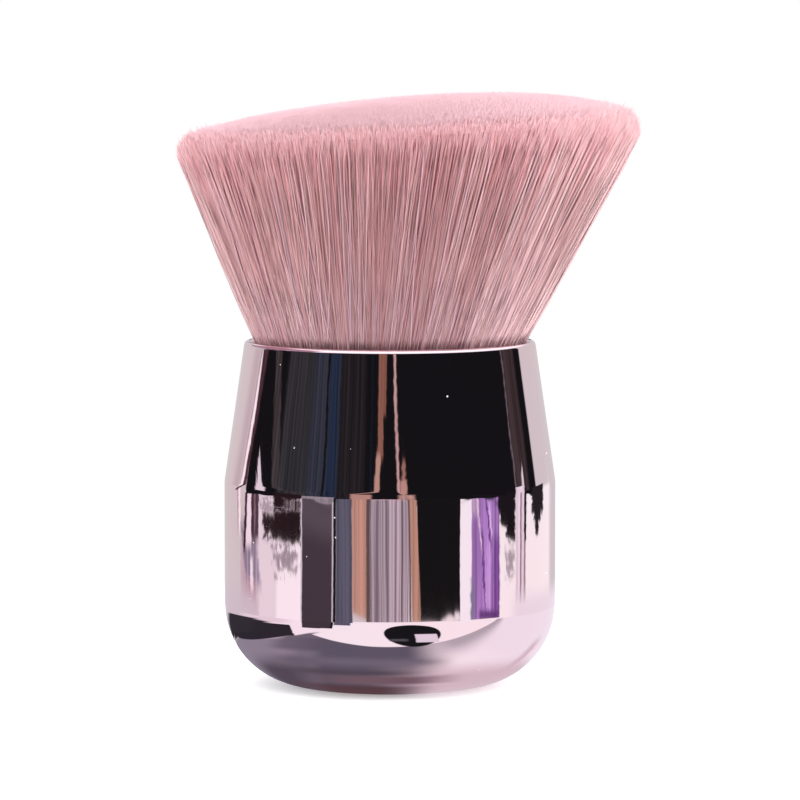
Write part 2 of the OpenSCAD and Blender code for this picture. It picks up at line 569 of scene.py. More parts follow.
@dataclass(frozen=True)
class BristleFinish(Finish):
    """Fine synthetic fibre: pale at the tips and duller towards the root, strand by strand.

    The colour follows the strands' own map: across it lie the columns that the strands share, from
    deep to pale, and up it lies the way from root to tip. The spans are places on that way. The
    foot
    is painted shade: a dark band at the very root, where the strands meet the lip.
    """

    name: str = "soft_pink_fibre"
    columns: int = 96
    # Painted shade at the root, where the strands meet the lip; not the fibre's own colour.
    foot: Colour = (0.16, 0.08, 0.09)
    root: Colour = (0.51, 0.30, 0.325)
    middle: Colour = (0.69, 0.35, 0.365)
    upper: Colour = (0.84, 0.38, 0.405)
    tip: Colour = (0.96, 0.585, 0.65)
    pale: Colour = (0.93, 0.60, 0.625)
    deep: Colour = (0.56, 0.19, 0.205)
    lilac: Colour = (0.80, 0.50, 0.64)
    beige: Colour = (0.84, 0.56, 0.50)
    lilac_most: float = 0.65
    beige_most: float = 0.60
    pale_most: float = 0.75
    deep_most: float = 0.62
    roughness: Range = (0.42, 0.56)
    specular: float = 0.22
    own_shift: Range = (-0.055, 0.055)
    shift_end: Range = (0.86, 0.94)
    shift_left: float = 0.15
    middle_span: Range = (0.15, 0.45)
    upper_span: Range = (0.58, 0.80)
    tip_span: Range = (0.825, 0.945)
    tint_end: Range = (0.78, 0.94)
    tint_left: float = 0.08
    streak_scale: float = 9.0
    streak_most: float = 0.15
    # Where the painted root shade lies, how dark it gets, and how much it follows each strand's
    # shift.
    foot_span: Range = (0.038, 0.075)
    foot_shade_most: float = 0.8
    foot_shade_shift: float = 0.3

    def build(self) -> Material:
        """Builds the material."""
        material, nodes, shader = self.start()
        where = nodes.add("UVMap", uv_map=STRAND_MAP).outputs["UV"]
        across, up = nodes.split("XYZ", where)[:2]
        column = nodes.maths("FLOOR", nodes.maths("MULTIPLY", across, float(self.columns)))
        level = nodes.maths("DIVIDE", column, float(self.columns))
        draw = nodes.add("TexWhiteNoise", noise_dimensions="1D")
        nodes.link(column, draw.inputs["W"])
        own = nodes.split("Color", draw.outputs["Color"])
        shift = nodes.maths(
            "MULTIPLY",
            nodes.spread(own["Blue"], (0.0, 1.0), self.own_shift),
            nodes.spread(up, self.shift_end, (1.0, self.shift_left)),
        )
        along = nodes.maths("ADD", up, shift)
        colour = nodes.mix(nodes.spread(along, self.middle_span), self.root, self.middle)
        colour = nodes.mix(nodes.spread(along, self.upper_span), colour, self.upper)
        colour = nodes.mix(nodes.spread(along, self.tip_span), colour, self.tip)
        fade = nodes.spread(along, self.tint_end, (1.0, self.tint_left))
        for share, tint in (
            (nodes.spread(own["Red"], (0.5, 1.0), (0.0, self.lilac_most)), self.lilac),
            (nodes.spread(own["Green"], (0.5, 1.0), (0.0, self.beige_most)), self.beige),
            (nodes.spread(level, (0.5, 1.0), (0.0, self.pale_most)), self.pale),
            (nodes.spread(level, (0.0, 0.5), (self.deep_most, 0.0)), self.deep),
        ):
            colour = nodes.mix(nodes.maths("MULTIPLY", share, fade), colour, tint)
        stretch = (float(self.columns), self.streak_scale, 1.0)
        streaks = nodes.noise(nodes.stretched(where, stretch), 1.0)
        paler = nodes.spread(streaks, NOISE_SPAN, (0.0, self.streak_most))
        colour = nodes.mix(paler, colour, self.pale)
        # Painted shade: darkens the strands at the root, where they meet the lip.
        low = nodes.maths("ADD", up, nodes.maths("MULTIPLY", shift, self.foot_shade_shift))
        at_foot = nodes.spread(low, self.foot_span, (self.foot_shade_most, 0.0))
        colour = nodes.mix(at_foot, colour, self.foot)
        nodes.link(colour, shader.inputs["Base Color"])
        nodes.link(nodes.spread(streaks, (0.2, 0.8), self.roughness), shader.inputs["Roughness"])
        shader.inputs["Specular IOR Level"].default_value = self.specular
        return material


@dataclass(frozen=True)
class PackedFinish(Finish):
    """The bundle's inside, seen between strands: streaks along it, and the tips' pink on top."""

    name: str = "packed_fibre"
    side_streaks: tuple[Colour, Colour] = ((0.86, 0.38, 0.40), (0.66, 0.25, 0.27))
    foot: Colour = (0.62, 0.31, 0.335)
    top: Colour = (0.88, 0.50, 0.55)
    foot_span: Range = (0.43, 0.52)
    top_span: Range = (0.655, 0.70)
    streak_stretch: Triple = (420.0, 5.0, 1.0)
    streak_span: Range = (0.35, 0.65)
    streak_strength: float = 0.6
    streak_depth: float = 0.15 * MM
    roughness: float = 0.8
    specular: float = 0.1

    def build(self) -> Material:
        """Builds the material."""
        material, nodes, shader = self.start()
        where = nodes.add("UVMap", uv_map=STRAND_MAP).outputs["UV"]
        up = nodes.split("XYZ", where)["Y"]
        streaks = nodes.noise(nodes.stretched(where, self.streak_stretch), 1.0, 3.0)
        colour = nodes.mix(nodes.spread(streaks, self.streak_span), *self.side_streaks)
        colour = nodes.mix(nodes.spread(up, self.foot_span), self.foot, colour)
        colour = nodes.mix(nodes.spread(up, self.top_span), colour, self.top)
        nodes.link(colour, shader.inputs["Base Color"])
        shader.inputs["Roughness"].default_value = self.roughness
        shader.inputs["Specular IOR Level"].default_value = self.specular
        self.bump(nodes, shader, streaks, self.streak_strength, self.streak_depth)
        return material


@dataclass(frozen=True)
class PlainFinish(Finish):
    """A moulded, cast or foamed finish: a tone that drifts, and a fine grain."""

    name: str
    light: Colour
    dark: Colour
    roughness: Range
    metallic: float = 0.0
    grain_scale: float = 600.0
    grain_depth: float = 0.05 * MM
    grain_strength: float = 0.3

    def build(self) -> Material:
        """Builds the material."""
        material, nodes, shader = self.start()
        where = nodes.add("TexCoord").outputs["Object"]
        grain = self.use_group(nodes, GROUPS.grain, where, Scale=self.grain_scale)
        colour = nodes.mix(nodes.spread(grain["Tone"], NOISE_SPAN), self.light, self.dark)
        nodes.link(colour, shader.inputs["Base Color"])
        dull = nodes.spread(grain["Height"], NOISE_SPAN, self.roughness)
        nodes.link(dull, shader.inputs["Roughness"])
        shader.inputs["Metallic"].default_value = self.metallic
        self.bump(nodes, shader, grain["Height"], self.grain_strength, self.grain_depth)
        return material


@dataclass(frozen=True)
class TurnedFinish(Finish):
    """Turned or drawn metal: fine rings round the axis, and a few wiping marks."""

    name: str
    light: Colour
    dark: Colour
    roughness: Range
    wiping: float = 0.8
    ring_scale: float = 9000.0
    ring_strength: float = 0.2
    ring_depth: float = 0.01 * MM

    def build(self) -> Material:
        """Builds the material."""
        material, nodes, shader = self.start()
        where = nodes.add("TexCoord").outputs["Object"]
        lines = self.use_group(nodes, GROUPS.hairlines, where, Amount=self.wiping)["Mask"]
        x, y, height = nodes.split("XYZ", where)
        squares = [nodes.maths("POWER", value, 2.0) for value in (x, y)]
        across = nodes.add("CombineXYZ")
        nodes.link(nodes.maths("SQRT", nodes.maths("ADD", *squares)), across.inputs["X"])
        nodes.link(height, across.inputs["Y"])
        turned = nodes.noise(across.outputs["Vector"], self.ring_scale)
        colour = nodes.mix(nodes.spread(turned, NOISE_SPAN), self.light, self.dark)
        nodes.link(colour, shader.inputs["Base Color"])
        worn = nodes.maths("ADD", nodes.maths("MULTIPLY", turned, 0.5), lines)
        nodes.link(nodes.spread(worn, (0.0, 1.0), self.roughness), shader.inputs["Roughness"])
        shader.inputs["Metallic"].default_value = 1.0
        self.bump(nodes, shader, turned, self.ring_strength, self.ring_depth)
        return material


def arc(
    centre: tuple[float, float], radius: float | tuple[float, float], turn: Range, steps: int,
) -> Outline:
    """Points along an arc in the half-plane that is spun.

    Args:
        centre: The arc's centre, as distance from the axis and height.
        radius: Its radius, or its radii across and up.
        turn: Its first and last angle, in radians.
        steps: How many pieces it has.

    Returns:
        The points, from the first angle to the last.
    """
    across, up = radius if isinstance(radius, tuple) else (radius, radius)
    angles = [turn[0] + (turn[1] - turn[0]) * i / steps for i in range(steps + 1)]
    return [(centre[0] + across * math.cos(a), centre[1] + up * math.sin(a)) for a in angles]


def braced(outline: Outline, longest: float, brace: float) -> Outline:
    """Adds points close to both ends of long pieces, so that the shading bends only at the arcs.

    Args:
        outline: The points.
        longest: The length past which a piece is braced.
        brace: How far from the ends the new points lie.

    Returns:
        The outline with the added points.
    """
    points = outline[:1]
    for (r0, z0), (r1, z1) in zip(outline, outline[1:]):
        length = math.hypot(r1 - r0, z1 - z0)
        if length > longest:
            share = brace / length
            points += [(r0 + (r1 - r0) * s, z0 + (z1 - z0) * s) for s in (share, 0.5, 1.0 - share)]
        points.append((r1, z1))
    return points


def spin_round(bm: bmesh.types.BMesh, geometry: list, steps: int) -> None:
    """Spins geometry a full turn round the Z axis.

    Args:
        bm: The bmesh that holds it.
        geometry: Its vertices and edges.
        steps: How many pieces the full turn has.
    """
    bmesh.ops.spin(
        bm, geom=geometry, cent=(0, 0, 0), axis=(0, 0, 1), angle=FULL_TURN, steps=steps,
        use_merge=True,
    )


def finished(bm: bmesh.types.BMesh, name: str) -> Mesh:
    """Makes a mesh of a bmesh, and frees the bmesh.

    Args:
        bm: The bmesh.
        name: The mesh's name.

    Returns:
        The mesh.
    """
    mesh = bpy.data.meshes.new(name)
    bm.to_mesh(mesh)
    bm.free()
    return mesh


def spun(name: str, outline: Outline, steps: int, sharp: float) -> Mesh:
    """Spins an outline round the Z axis into a closed mesh.

    Args:
        name: The mesh's name.
        outline: Points as distance from the axis and height. The first and last lie on the axis,
            or else the outline is a closed loop.
        steps: How many pieces the full turn has.
        sharp: The angle, in radians, past which an edge stays sharp.

    Returns:
        The mesh.
    """
    bm = bmesh.new()
    verts = [bm.verts.new((r, 0.0, z)) for r, z in outline]
    on_axis = outline[0][0] == 0.0 and outline[-1][0] == 0.0
    ends = verts[1:] if on_axis else verts[1:] + verts[:1]
    edges = [bm.edges.new(pair) for pair in zip(verts, ends)]
    spin_round(bm, verts + edges, steps)
    bmesh.ops.remove_doubles(bm, verts=bm.verts, dist=SAME_PLACE)
    bmesh.ops.recalc_face_normals(bm, faces=bm.faces)
    for face in bm.faces:
        face.smooth = True
    mesh = finished(bm, name)
    mesh.set_sharp_from_angle(angle=sharp)
    return mesh


@dataclass
class Handle:
    """The plated shell and the drawn cup inside its mouth.

    The outer size comes from the frame's own boxes. A roll is the rounding of an edge, and the
    steps say how many pieces an arc or a full turn has.
    """

    belly_height: float = 28.3 * MM
    taper_in: float = 2.75 * MM
    base_round: float = 11.2 * MM
    crease_round: float = 7.0 * MM
    lip_wall: float = 0.8 * MM
    lip_roll: tuple[float, float] = (0.50 * MM, 0.66 * MM)
    lip_inner_roll: tuple[float, float] = (0.35 * MM, 0.35 * MM)
    floor: float = 3.0 * MM
    ledge_width: float = 3.25 * MM
    cup_wall: float = 0.4 * MM
    rim_roll: float = 0.3 * MM
    rim_turn: float = math.radians(225)
    longest_piece: float = 1.5 * MM
    brace: float = 0.1 * MM
    base_steps: int = 48
    crease_steps: int = 8
    lip_steps: tuple[int, int] = (16, 8)
    cup_steps: tuple[int, int] = (6, 14)
    turn_steps: int = 288
    sharp: float = math.radians(35)
    shell_finish: PlatedFinish = PlatedFinish()
    cup_finish: TurnedFinish = TurnedFinish(
        "rose_drawn_metal", (0.90, 0.74, 0.76), (0.80, 0.62, 0.64), (0.18, 0.42),
    )

    def shell_outline(self) -> Outline:
        """The shell's outline, outside and inside, from the frame's own box.

        Returns:
            Points from the middle of the base, over the lip, to the middle of the floor.
        """
        low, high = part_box("handle_shell")
        body_r, height = (high.x - low.x) / 2, high.z
        mouth_r = body_r - self.taper_in
        slant = math.atan2(self.taper_in, height - self.lip_wall / 2 - self.belly_height)
        back = self.crease_round * math.tan(slant / 2)
        bore_r = mouth_r - self.lip_wall
        pocket_r = bore_r - self.ledge_width
        ledge_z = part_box("inner_core")[0].z
        base = (body_r - self.base_round, self.base_round)
        crease = (body_r - self.crease_round, self.belly_height - back)
        roll, inner = self.lip_roll, self.lip_inner_roll
        lip_r = mouth_r - roll[0]
        outer_steps, inner_steps = self.lip_steps
        points = [(0.0, 0.0)]
        points += arc(base, self.base_round, (-QUARTER_TURN, 0.0), self.base_steps)
        points += arc(crease, self.crease_round, (0.0, slant), self.crease_steps)
        points += arc((lip_r, height - roll[1]), roll, (slant, QUARTER_TURN), outer_steps)
        points += arc((lip_r, height - inner[1]), inner, (QUARTER_TURN, math.pi), inner_steps)[1:]
        points += [(bore_r, ledge_z), (pocket_r, ledge_z)]
        points += [(pocket_r, self.floor), (0.0, self.floor)]
        return braced(points, self.longest_piece, self.brace)

    def cup_outline(self) -> Outline:
        """The cup's outline with a rolled rim, from the frame's own boxes.

        Returns:
            Points from the middle of the cup's underside, over the rim, to the middle of its floor.
        """
        low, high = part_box("ferrule_cup")
        outer_r = (high.x - low.x) / 2
        inner_r = outer_r - self.cup_wall
        floor_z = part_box("root_potting")[0].z
        foot = (inner_r, low.z + self.cup_wall)
        bead = (outer_r - self.rim_roll, high.z - self.rim_roll)
        foot_steps, bead_steps = self.cup_steps
        points = [(0.0, low.z)]
        points += arc(foot, self.cup_wall, (-QUARTER_TURN, 0.0), foot_steps)
        points += arc(bead, self.rim_roll, (0.0, self.rim_turn), bead_steps)
        points += [(inner_r, bead[1] - self.rim_roll), (inner_r, floor_z), (0.0, floor_z)]
        return braced(points, self.longest_piece, self.brace)

    def build(self) -> None:
        """Builds the shell and the cup in place of their solids."""
        shell = place(spun("plated_shell", self.shell_outline(), self.turn_steps, self.sharp))
        dress(shell, self.shell_finish.build())
        join_body(shell, "handle_shell")
        cup = place(spun("drawn_cup", self.cup_outline(), self.turn_steps // 2, self.sharp))
        dress(cup, self.cup_finish.build())
        join_body(cup, "ferrule_cup")


@dataclass(frozen=True)
class StrandKind:
    """How one part of the head is grown. Shares are 0 for none and 1 for all.

    Args:
        name: The pieces' name, before their numbers.
        count: How many strands there are.
        reach: From where to where they stand on a disc of radius 1.
        rings: Where a strand has its rings, as shares of the way from the root's top to the tip; a
            share below zero lies straight under the root's top, inside the cup.
        radius: A strand's radius.
        tip_share: How far up the colours' way the tips lie, at the reach's outside and inside.
        fade_reach: Where on the disc the tips go from the inside's colour to the outside's.
        length_spread: How much the strands differ in length.
        own_normal: How much a strand shades as a round thing of its own.
        tip_lift: How much the shading faces up towards the tip.
        lock_pull: How far strands are drawn to the middle of their lock.
        cut_share: How many strands are cut shorter.
        stray_share: How many strands stray.
        start_spread: How far the low ends differ, as a share of the way.
        fray: How much more the lengths differ at the head's edge.
        pieces: How many pieces the strands are parted into.
    """

    name: str
    count: int
    reach: Range
    rings: tuple[float, ...]
    radius: float
    tip_share: Range
    fade_reach: Range
    length_spread: float
    own_normal: float
    tip_lift: float
    lock_pull: float = 0.0
    cut_share: float = 0.0
    stray_share: float = 0.0
    start_spread: float = 0.0
    fray: float = 0.0
    pieces: int = 4


@dataclass
class BristleHead:
    """The flared, domed head: fine strands gathered into locks, over the bundle's packed inside.

    A zone is a span of the way from the root's top to the tips, and a reach is one on a disc of
    radius 1. Each painted light tone is a place round the head, its width, both in degrees, and the
    change of tone: painted light, deeper at the front and paler at both sides, where the side lamps
    light the strands.
    """

    edge_height: float = 75.4 * MM
    edge_rise: float = 2.8 * MM
    dome_height: float = 6.35 * MM
    dome_skew: float = 0.15
    dome_power: float = 0.42
    root_height: float = 46.9 * MM
    root_radius: float = 18.4 * MM
    core_share: float = 0.962
    core_top_share: float = 0.972
    core_neck: float = -0.03
    core_levels: tuple[float, ...] = (0.0, 0.25, 0.5, 0.75)
    core_reaches: tuple[float, ...] = (
        1.0, 0.995, 0.98, 0.96, 0.93, 0.88, 0.8, 0.7, 0.55, 0.4, 0.2, 0.0,
    )
    core_steps: int = 180
    core_sharp: float = math.radians(60)
    bound_radius: float = 18.38 * MM
    strand_sides: int = 3
    place_jitter: float = 0.4
    lock_spacing: float = 0.85 * MM
    lock_jitter: float = 0.35
    low_lock_share: float = 0.62
    low_lock_pull: float = 1.5
    gather_zones: tuple[Range, Range] = ((0.35, 0.70), (0.70, 0.95))
    low_gather_zones: tuple[Range, Range] = ((0.0, 0.42), (0.45, 0.85))
    cut_range: Range = (0.01, 0.13)
    fray_reach: Range = (0.78, 0.97)
    start_reach: Range = (0.80, 0.95)
    rim_reach: Range = (0.90, 1.0)
    normal_nudge: float = 0.02
    tip_zone: Range = (0.62, 1.0)
    tip_smoothing: float = 0.8
    end_zone: Range = (0.88, 1.0)
    end_lift: float = 0.9
    thickness: Range = (0.75, 1.3)
    end_thickness: float = 0.85
    first_sector: float = 0.625
    lock_tone: float = 0.40
    strand_tone: float = 0.68
    tone_waves: tuple[int, ...] = (5, 9, 14, 23)
    tone_drift: float = 0.05
    # Painted light: strands deeper at the front and paler at both sides, most at the right.
    painted_light_tones: tuple[Triple, ...] = (
        (8.0, 22.0, -0.12), (84.0, 38.0, 0.46), (-86.0, 16.0, 0.18),
    )
    root_jitter: float = 0.035
    bend: float = 0.30 * MM
    bend_easing: float = 0.45
    lift_share: float = 0.12
    lift_rise: float = 4.0
    stray_bend: float = 2.4 * MM
    stray_lift: float = 0.14 * MM
    column_inset: float = 0.06
    column_turns: float = 1.34
    foot_inset: float = 0.02
    seed: int = 7
    finish: BristleFinish = BristleFinish()
    core_finish: PackedFinish = PackedFinish()
    kinds: tuple[StrandKind, ...] = (
        StrandKind(
            "bristles_side", 17000, reach=(0.948, 1.0),
            rings=(-0.06, 0.0, 0.24, 0.46, 0.63, 0.8, 0.955), radius=0.066 * MM,
            tip_share=(0.885, 0.93), fade_reach=(0.945, 1.0), length_spread=0.45 * MM,
            own_normal=0.34, tip_lift=0.60, lock_pull=0.30, cut_share=0.42, stray_share=0.13,
        ),
        StrandKind(
            "bristles_crown", 52000, reach=(0.0, 0.976), rings=(0.88, 0.985), radius=0.080 * MM,
            tip_share=(0.915, 1.0), fade_reach=(0.80, 0.976), length_spread=0.06 * MM,
            own_normal=0.3, tip_lift=0.25, start_spread=0.34, fray=5.0,
        ),
    )
    material: Material | None = None

    def head_box(self) -> Triple:
        """The head's half width, half depth and sideways middle, from the frame's own box."""
        low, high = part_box("bristle_tuft")
        return (high.x - low.x) / 2, (high.y - low.y) / 2, (high.x + low.x) / 2

    def roots(self, places: np.ndarray) -> np.ndarray:
        """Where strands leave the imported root.

        Args:
            places: Each strand's place on a disc of radius 1.

        Returns:
            The points.
        """
        flat = self.root_radius * places
        return np.stack([flat[:, 0], flat[:, 1], np.full(len(flat), self.root_height)], 1)

    def tips(self, places: np.ndarray) -> np.ndarray:
        """Where strands end on the dome.

        Args:
            places: Each strand's place on a disc of radius 1.

        Returns:
            The points.
        """
        half_w, half_d, lean = self.head_box()
        u, v = places[:, 0], places[:, 1]
        inside = np.maximum(1.0 - u * u - v * v, 0.0)
        dome = self.dome_height * inside ** self.dome_power * (1.0 + self.dome_skew * u)
        height = self.edge_height + self.edge_rise / 2 * u + dome
        return np.stack([lean + half_w * u, half_d * v, height], 1)

    def unit_strand(self, rings: tuple[float, ...]) -> tuple[np.ndarray, list[list[int]]]:
        """One strand of radius 1, closed at both ends, with its tip at height 1.

        Args:
            rings: The height of each ring.

        Returns:
            The vertices, and each face's vertex numbers.
        """
        bm = bmesh.new()
        bmesh.ops.create_circle(bm, cap_ends=True, radius=1.0, segments=self.strand_sides)
        bmesh.ops.translate(bm, verts=bm.verts, vec=(0.0, 0.0, rings[0]))
        edges = list(bm.edges)
        for low, high in zip(rings, rings[1:]):
            grown = bmesh.ops.extrude_edge_only(bm, edges=edges)["geom"]
            edges = [g for g in grown if isinstance(g, bmesh.types.BMEdge)]
            ring = [g for g in grown if isinstance(g, bmesh.types.BMVert)]
            edges = [e for e in edges if all(v in ring for v in e.verts)]
            bmesh.ops.translate(bm, verts=ring, vec=(0.0, 0.0, high - low))
        grown = bmesh.ops.extrude_edge_only(bm, edges=edges)["geom"]
        point = [g for g in grown if isinstance(g, bmesh.types.BMVert)]
        bmesh.ops.pointmerge(bm, verts=point, merge_co=(0.0, 0.0, 1.0))
        bmesh.ops.recalc_face_normals(bm, faces=bm.faces)
        bm.verts.index_update()
        verts = np.array([v.co for v in bm.verts])
        faces = [[v.index for v in face.verts] for face in bm.faces]
        bm.free()
        return verts, faces

    def stand(self, kind: StrandKind, draw: np.random.Generator) -> np.ndarray:
        """Spreads strands evenly over a ring of the unit disc.

        Args:
            kind: The part of the head.
            draw: The random numbers.

        Returns:
            Each strand's place.
        """
        step = np.arange(kind.count) + 0.5
        low, high = kind.reach[0] ** 2, kind.reach[1] ** 2
        reach = np.sqrt(low + (high - low) * step / kind.count)
        turn = step * GOLDEN_TURN
        places = np.stack([reach * np.cos(turn), reach * np.sin(turn)], 1)
        apart = math.sqrt(math.pi * (high - low) / kind.count)
        places += draw.normal(0.0, self.place_jitter * apart, places.shape)
        return places / np.maximum(np.linalg.norm(places, axis=1, keepdims=True), 1.0)

    def locks(
        self, tips: np.ndarray, spacing: float, draw: np.random.Generator,
    ) -> tuple[np.ndarray, np.ndarray]:
        """Gathers strands into locks.

        Args:
            tips: The strands' ends.
            spacing: How far apart the locks' middles lie.
            draw: The random numbers.

        Returns:
            The way from each strand's end to the middle of its lock, and the lock's number.
        """
        half_w, half_d, lean = self.head_box()
        count = int(math.pi * half_w * half_d / spacing ** 2)
        step = np.arange(count) + 0.5
        turn = step * GOLDEN_TURN
        reach = np.sqrt(step / count)
        middles = np.stack([lean + half_w * reach * np.cos(turn), half_d * reach * np.sin(turn)], 1)
        middles += draw.normal(0.0, self.lock_jitter * spacing, middles.shape)
        tree = kdtree.KDTree(count)
        for number, (x, y) in enumerate(middles):
            tree.insert((x, y, 0.0), number)
        tree.balance()
        lock = np.array([tree.find((x, y, 0.0))[1] for x, y in tips[:, :2]])
        return middles[lock] - tips[:, :2], lock

    def centre_lines(
        self, kind: StrandKind, places: np.ndarray, heights: np.ndarray, cut: np.ndarray,
        draw: np.random.Generator,
    ) -> tuple[np.ndarray, np.ndarray, np.ndarray, np.ndarray]:
        """Lays out each strand's centre line.

        Args:
            kind: The part of the head.
            places: Each strand's place on the unit disc.
            heights: The shares of the way at which each strand's points are wanted.
            cut: The share by which each strand is shorter.
            draw: The random numbers.

        Returns:
            The points, two directions across each strand, and each strand's lock tone.
        """
        count = kind.count
        tips = self.tips(places)
        pull, lock = self.locks(tips, self.lock_spacing, draw)
        low_pull = self.locks(tips, self.lock_spacing * self.low_lock_share, draw)[0]
        lock_draw = np.random.default_rng(self.seed).uniform(0.0, 1.0, (lock.max() + 1, 2))[lock]
        roots = self.roots(self.turned(places, draw.normal(0.0, self.root_jitter, count)))
        frayed = 1.0 + kind.fray * smooth_step(*self.fray_reach, np.linalg.norm(places, axis=1))
        longer = draw.normal(0.0, 1.0, count) + lock_draw[:, 0] - 0.5
        tips[:, 2] += longer * kind.length_spread * frayed
        tips += (roots - tips) * cut[:, None]
        way = tips - roots
        side, front = self.across(places, directions(way))
        up = np.maximum(heights, 0.0)
        points = roots[:, None] + way[:, None] * up[..., None]
        points[..., 2] += np.minimum(heights, 0.0) * (self.edge_height - self.root_height)
        gather = kind.lock_pull * pull[:, None] * hump(self.gather_zones, up)[..., None]
        low_gather = kind.lock_pull * self.low_lock_pull * low_pull[:, None]
        points[..., :2] += gather
        points[..., :2] += low_gather * hump(self.low_gather_zones, up)[..., None]
        stray = draw.uniform(0.0, 1.0, count) < kind.stray_share
        bends = [draw.normal(0.0, bend, count) for bend in (self.stray_bend, self.bend)]
        sway = np.where(stray, *bends)
        lift = np.where(
            stray, self.stray_lift, draw.normal(0.0, self.lift_share * self.bend, count),
        )
        curve = up * (1.0 - self.bend_easing * up)
        risen = np.minimum(up * self.lift_rise, 1.0)
        points += (sway[:, None] * curve)[..., None] * side[:, None]
        points += (lift[:, None] * risen)[..., None] * front[:, None]
        return points, side, front, lock_draw[:, 1]

    @staticmethod
    def turned(places: np.ndarray, turn: np.ndarray) -> np.ndarray:
        """Turns each place round the disc's middle by its own angle."""
        x, y = places[:, 0], places[:, 1]
        cos, sin = np.cos(turn), np.sin(turn)
        return np.stack([x * cos - y * sin, x * sin + y * cos], 1)

    @staticmethod
    def across(places: np.ndarray, along: np.ndarray) -> tuple[np.ndarray, np.ndarray]:
        """Finds two directions across each strand.

        Args:
            places: Each strand's place on the unit disc.
            along: The direction of each strand.

        Returns:
            The direction round the head, and the one out of the bundle.
        """
        outward = np.concatenate([places, np.zeros((len(places), 1))], 1)
        outward /= np.maximum(np.linalg.norm(outward, axis=1, keepdims=True), NOTHING)
        tangent = np.cross(UP, outward)
        side = directions(tangent - along * np.sum(tangent * along, axis=1, keepdims=True))
        return side, np.cross(side, along)

    def head_normals(self, places: np.ndarray, front: np.ndarray) -> np.ndarray:
        """The way the head's surface faces: up on the crown, and turning outwards at the rim.

        Args:
            places: Each strand's place on the unit disc.
            front: The way out of the bundle, across each strand.

        Returns:
            Unit directions.
        """
        nudge = self.normal_nudge
        inside = places * (1.0 - nudge)
        here = self.tips(inside)
        step_u = self.tips(inside + [nudge / 2, 0.0]) - here
        step_v = self.tips(inside + [0.0, nudge / 2]) - here
        up = directions(np.cross(step_u, step_v))
        rim = smooth_step(*self.rim_reach, np.linalg.norm(places, axis=1))[:, None]
        return directions(up * (1.0 - rim) + front * rim)

    def tone_drift_and_painted_light(self, places: np.ndarray) -> np.ndarray:
        """How the strands' tone drifts round the head at random, with painted light laid over it:
        deeper at the front and paler at the sides, where the side lamps light the strands.

        Args:
            places: Each strand's place on the unit disc.

        Returns:
            What to add to each strand's tone.
        """
        turn = np.arctan2(places[:, 0], -places[:, 1])
        waves = np.array(self.tone_waves)
        phases = np.random.default_rng(self.seed + 1).uniform(0.0, FULL_TURN, len(waves))
        drift = sum(self.tone_drift * np.cos(w * turn + phase) for w, phase in zip(waves, phases))
        # Painted light and shade: each part makes the strands paler or deeper where the lamps light
        # them more or less.
        for middle, width, change in self.painted_light_tones:
            off = (turn - math.radians(middle) + math.pi) % FULL_TURN - math.pi
            drift = drift + change * np.exp(-(off / math.radians(width)) ** 2)
        return drift

    def grow(self, kind: StrandKind, draw: np.random.Generator) -> None:
        """Grows one part of the head, in sectors.

        Args:
            kind: The part of the head.
            draw: The random numbers.
        """
        count = kind.count
        places = self.stand(kind, draw)
        unit, faces = self.unit_strand(kind.rings)
        is_cut = draw.uniform(0.0, 1.0, count) < kind.cut_share
        cut = np.where(is_cut, draw.uniform(*self.cut_range, count), 0.0)
        reach = np.linalg.norm(places, axis=1)
        spread = kind.start_spread * draw.uniform(0.0, 1.0, count)
        lowered = spread * smooth_step(*self.start_reach, reach)
        heights = unit[None, :, 2] - lowered[:, None] * self.low_end(unit)[None]
        points, side, front, tone = self.centre_lines(kind, places, heights, cut, draw)
        offset, radius = self.thicken(kind, unit, side, front, draw)
        verts = points + offset
        near_tip = smooth_step(*self.tip_zone, heights * (1.0 - cut[:, None]))[..., None]
        near_end = smooth_step(*self.end_zone, heights)[..., None]
        lift = kind.tip_lift * near_tip + self.end_lift * near_end
        facing = directions(self.head_normals(places, front)[:, None] + lift * UP)
        own = kind.own_normal * (1.0 - self.tip_smoothing * near_tip)
        normals = facing * (1.0 - own) + own * offset / radius[..., None]
        own_tone = self.strand_tone * draw.uniform(-0.5, 0.5, count)
        level = 0.5 + self.lock_tone * (tone - 0.5) + own_tone + self.tone_drift_and_painted_light(places)
        column = (np.clip(level, 0.0, 0.999) * self.finish.columns).astype(int)
        low, high = kind.tip_share
        share = (high - (high - low) * smooth_step(*kind.fade_reach, reach)) * (1.0 - cut)
        turn = np.arctan2(places[:, 1], places[:, 0]) / FULL_TURN
        sector = ((turn + self.first_sector) % 1.0 * kind.pieces).astype(int)
        for number in range(kind.pieces):
            chosen = sector == number
            mesh = self.strand_mesh(
                f"{kind.name}_{number + 1}", verts[chosen], unit, faces, column[chosen],
                share[chosen], lowered[chosen],
            )
            mesh.normals_split_custom_set_from_vertices(normals[chosen].reshape(-1, 3))
            piece = place(mesh)
            dress(piece, self.material)
            join_body(piece, "bristle_tuft")

    @staticmethod
    def low_end(unit: np.ndarray) -> np.ndarray:
        """Tells which of the unit strand's points lie at its low end."""
        return unit[:, 2] < unit[:, 2].min() + NEARLY

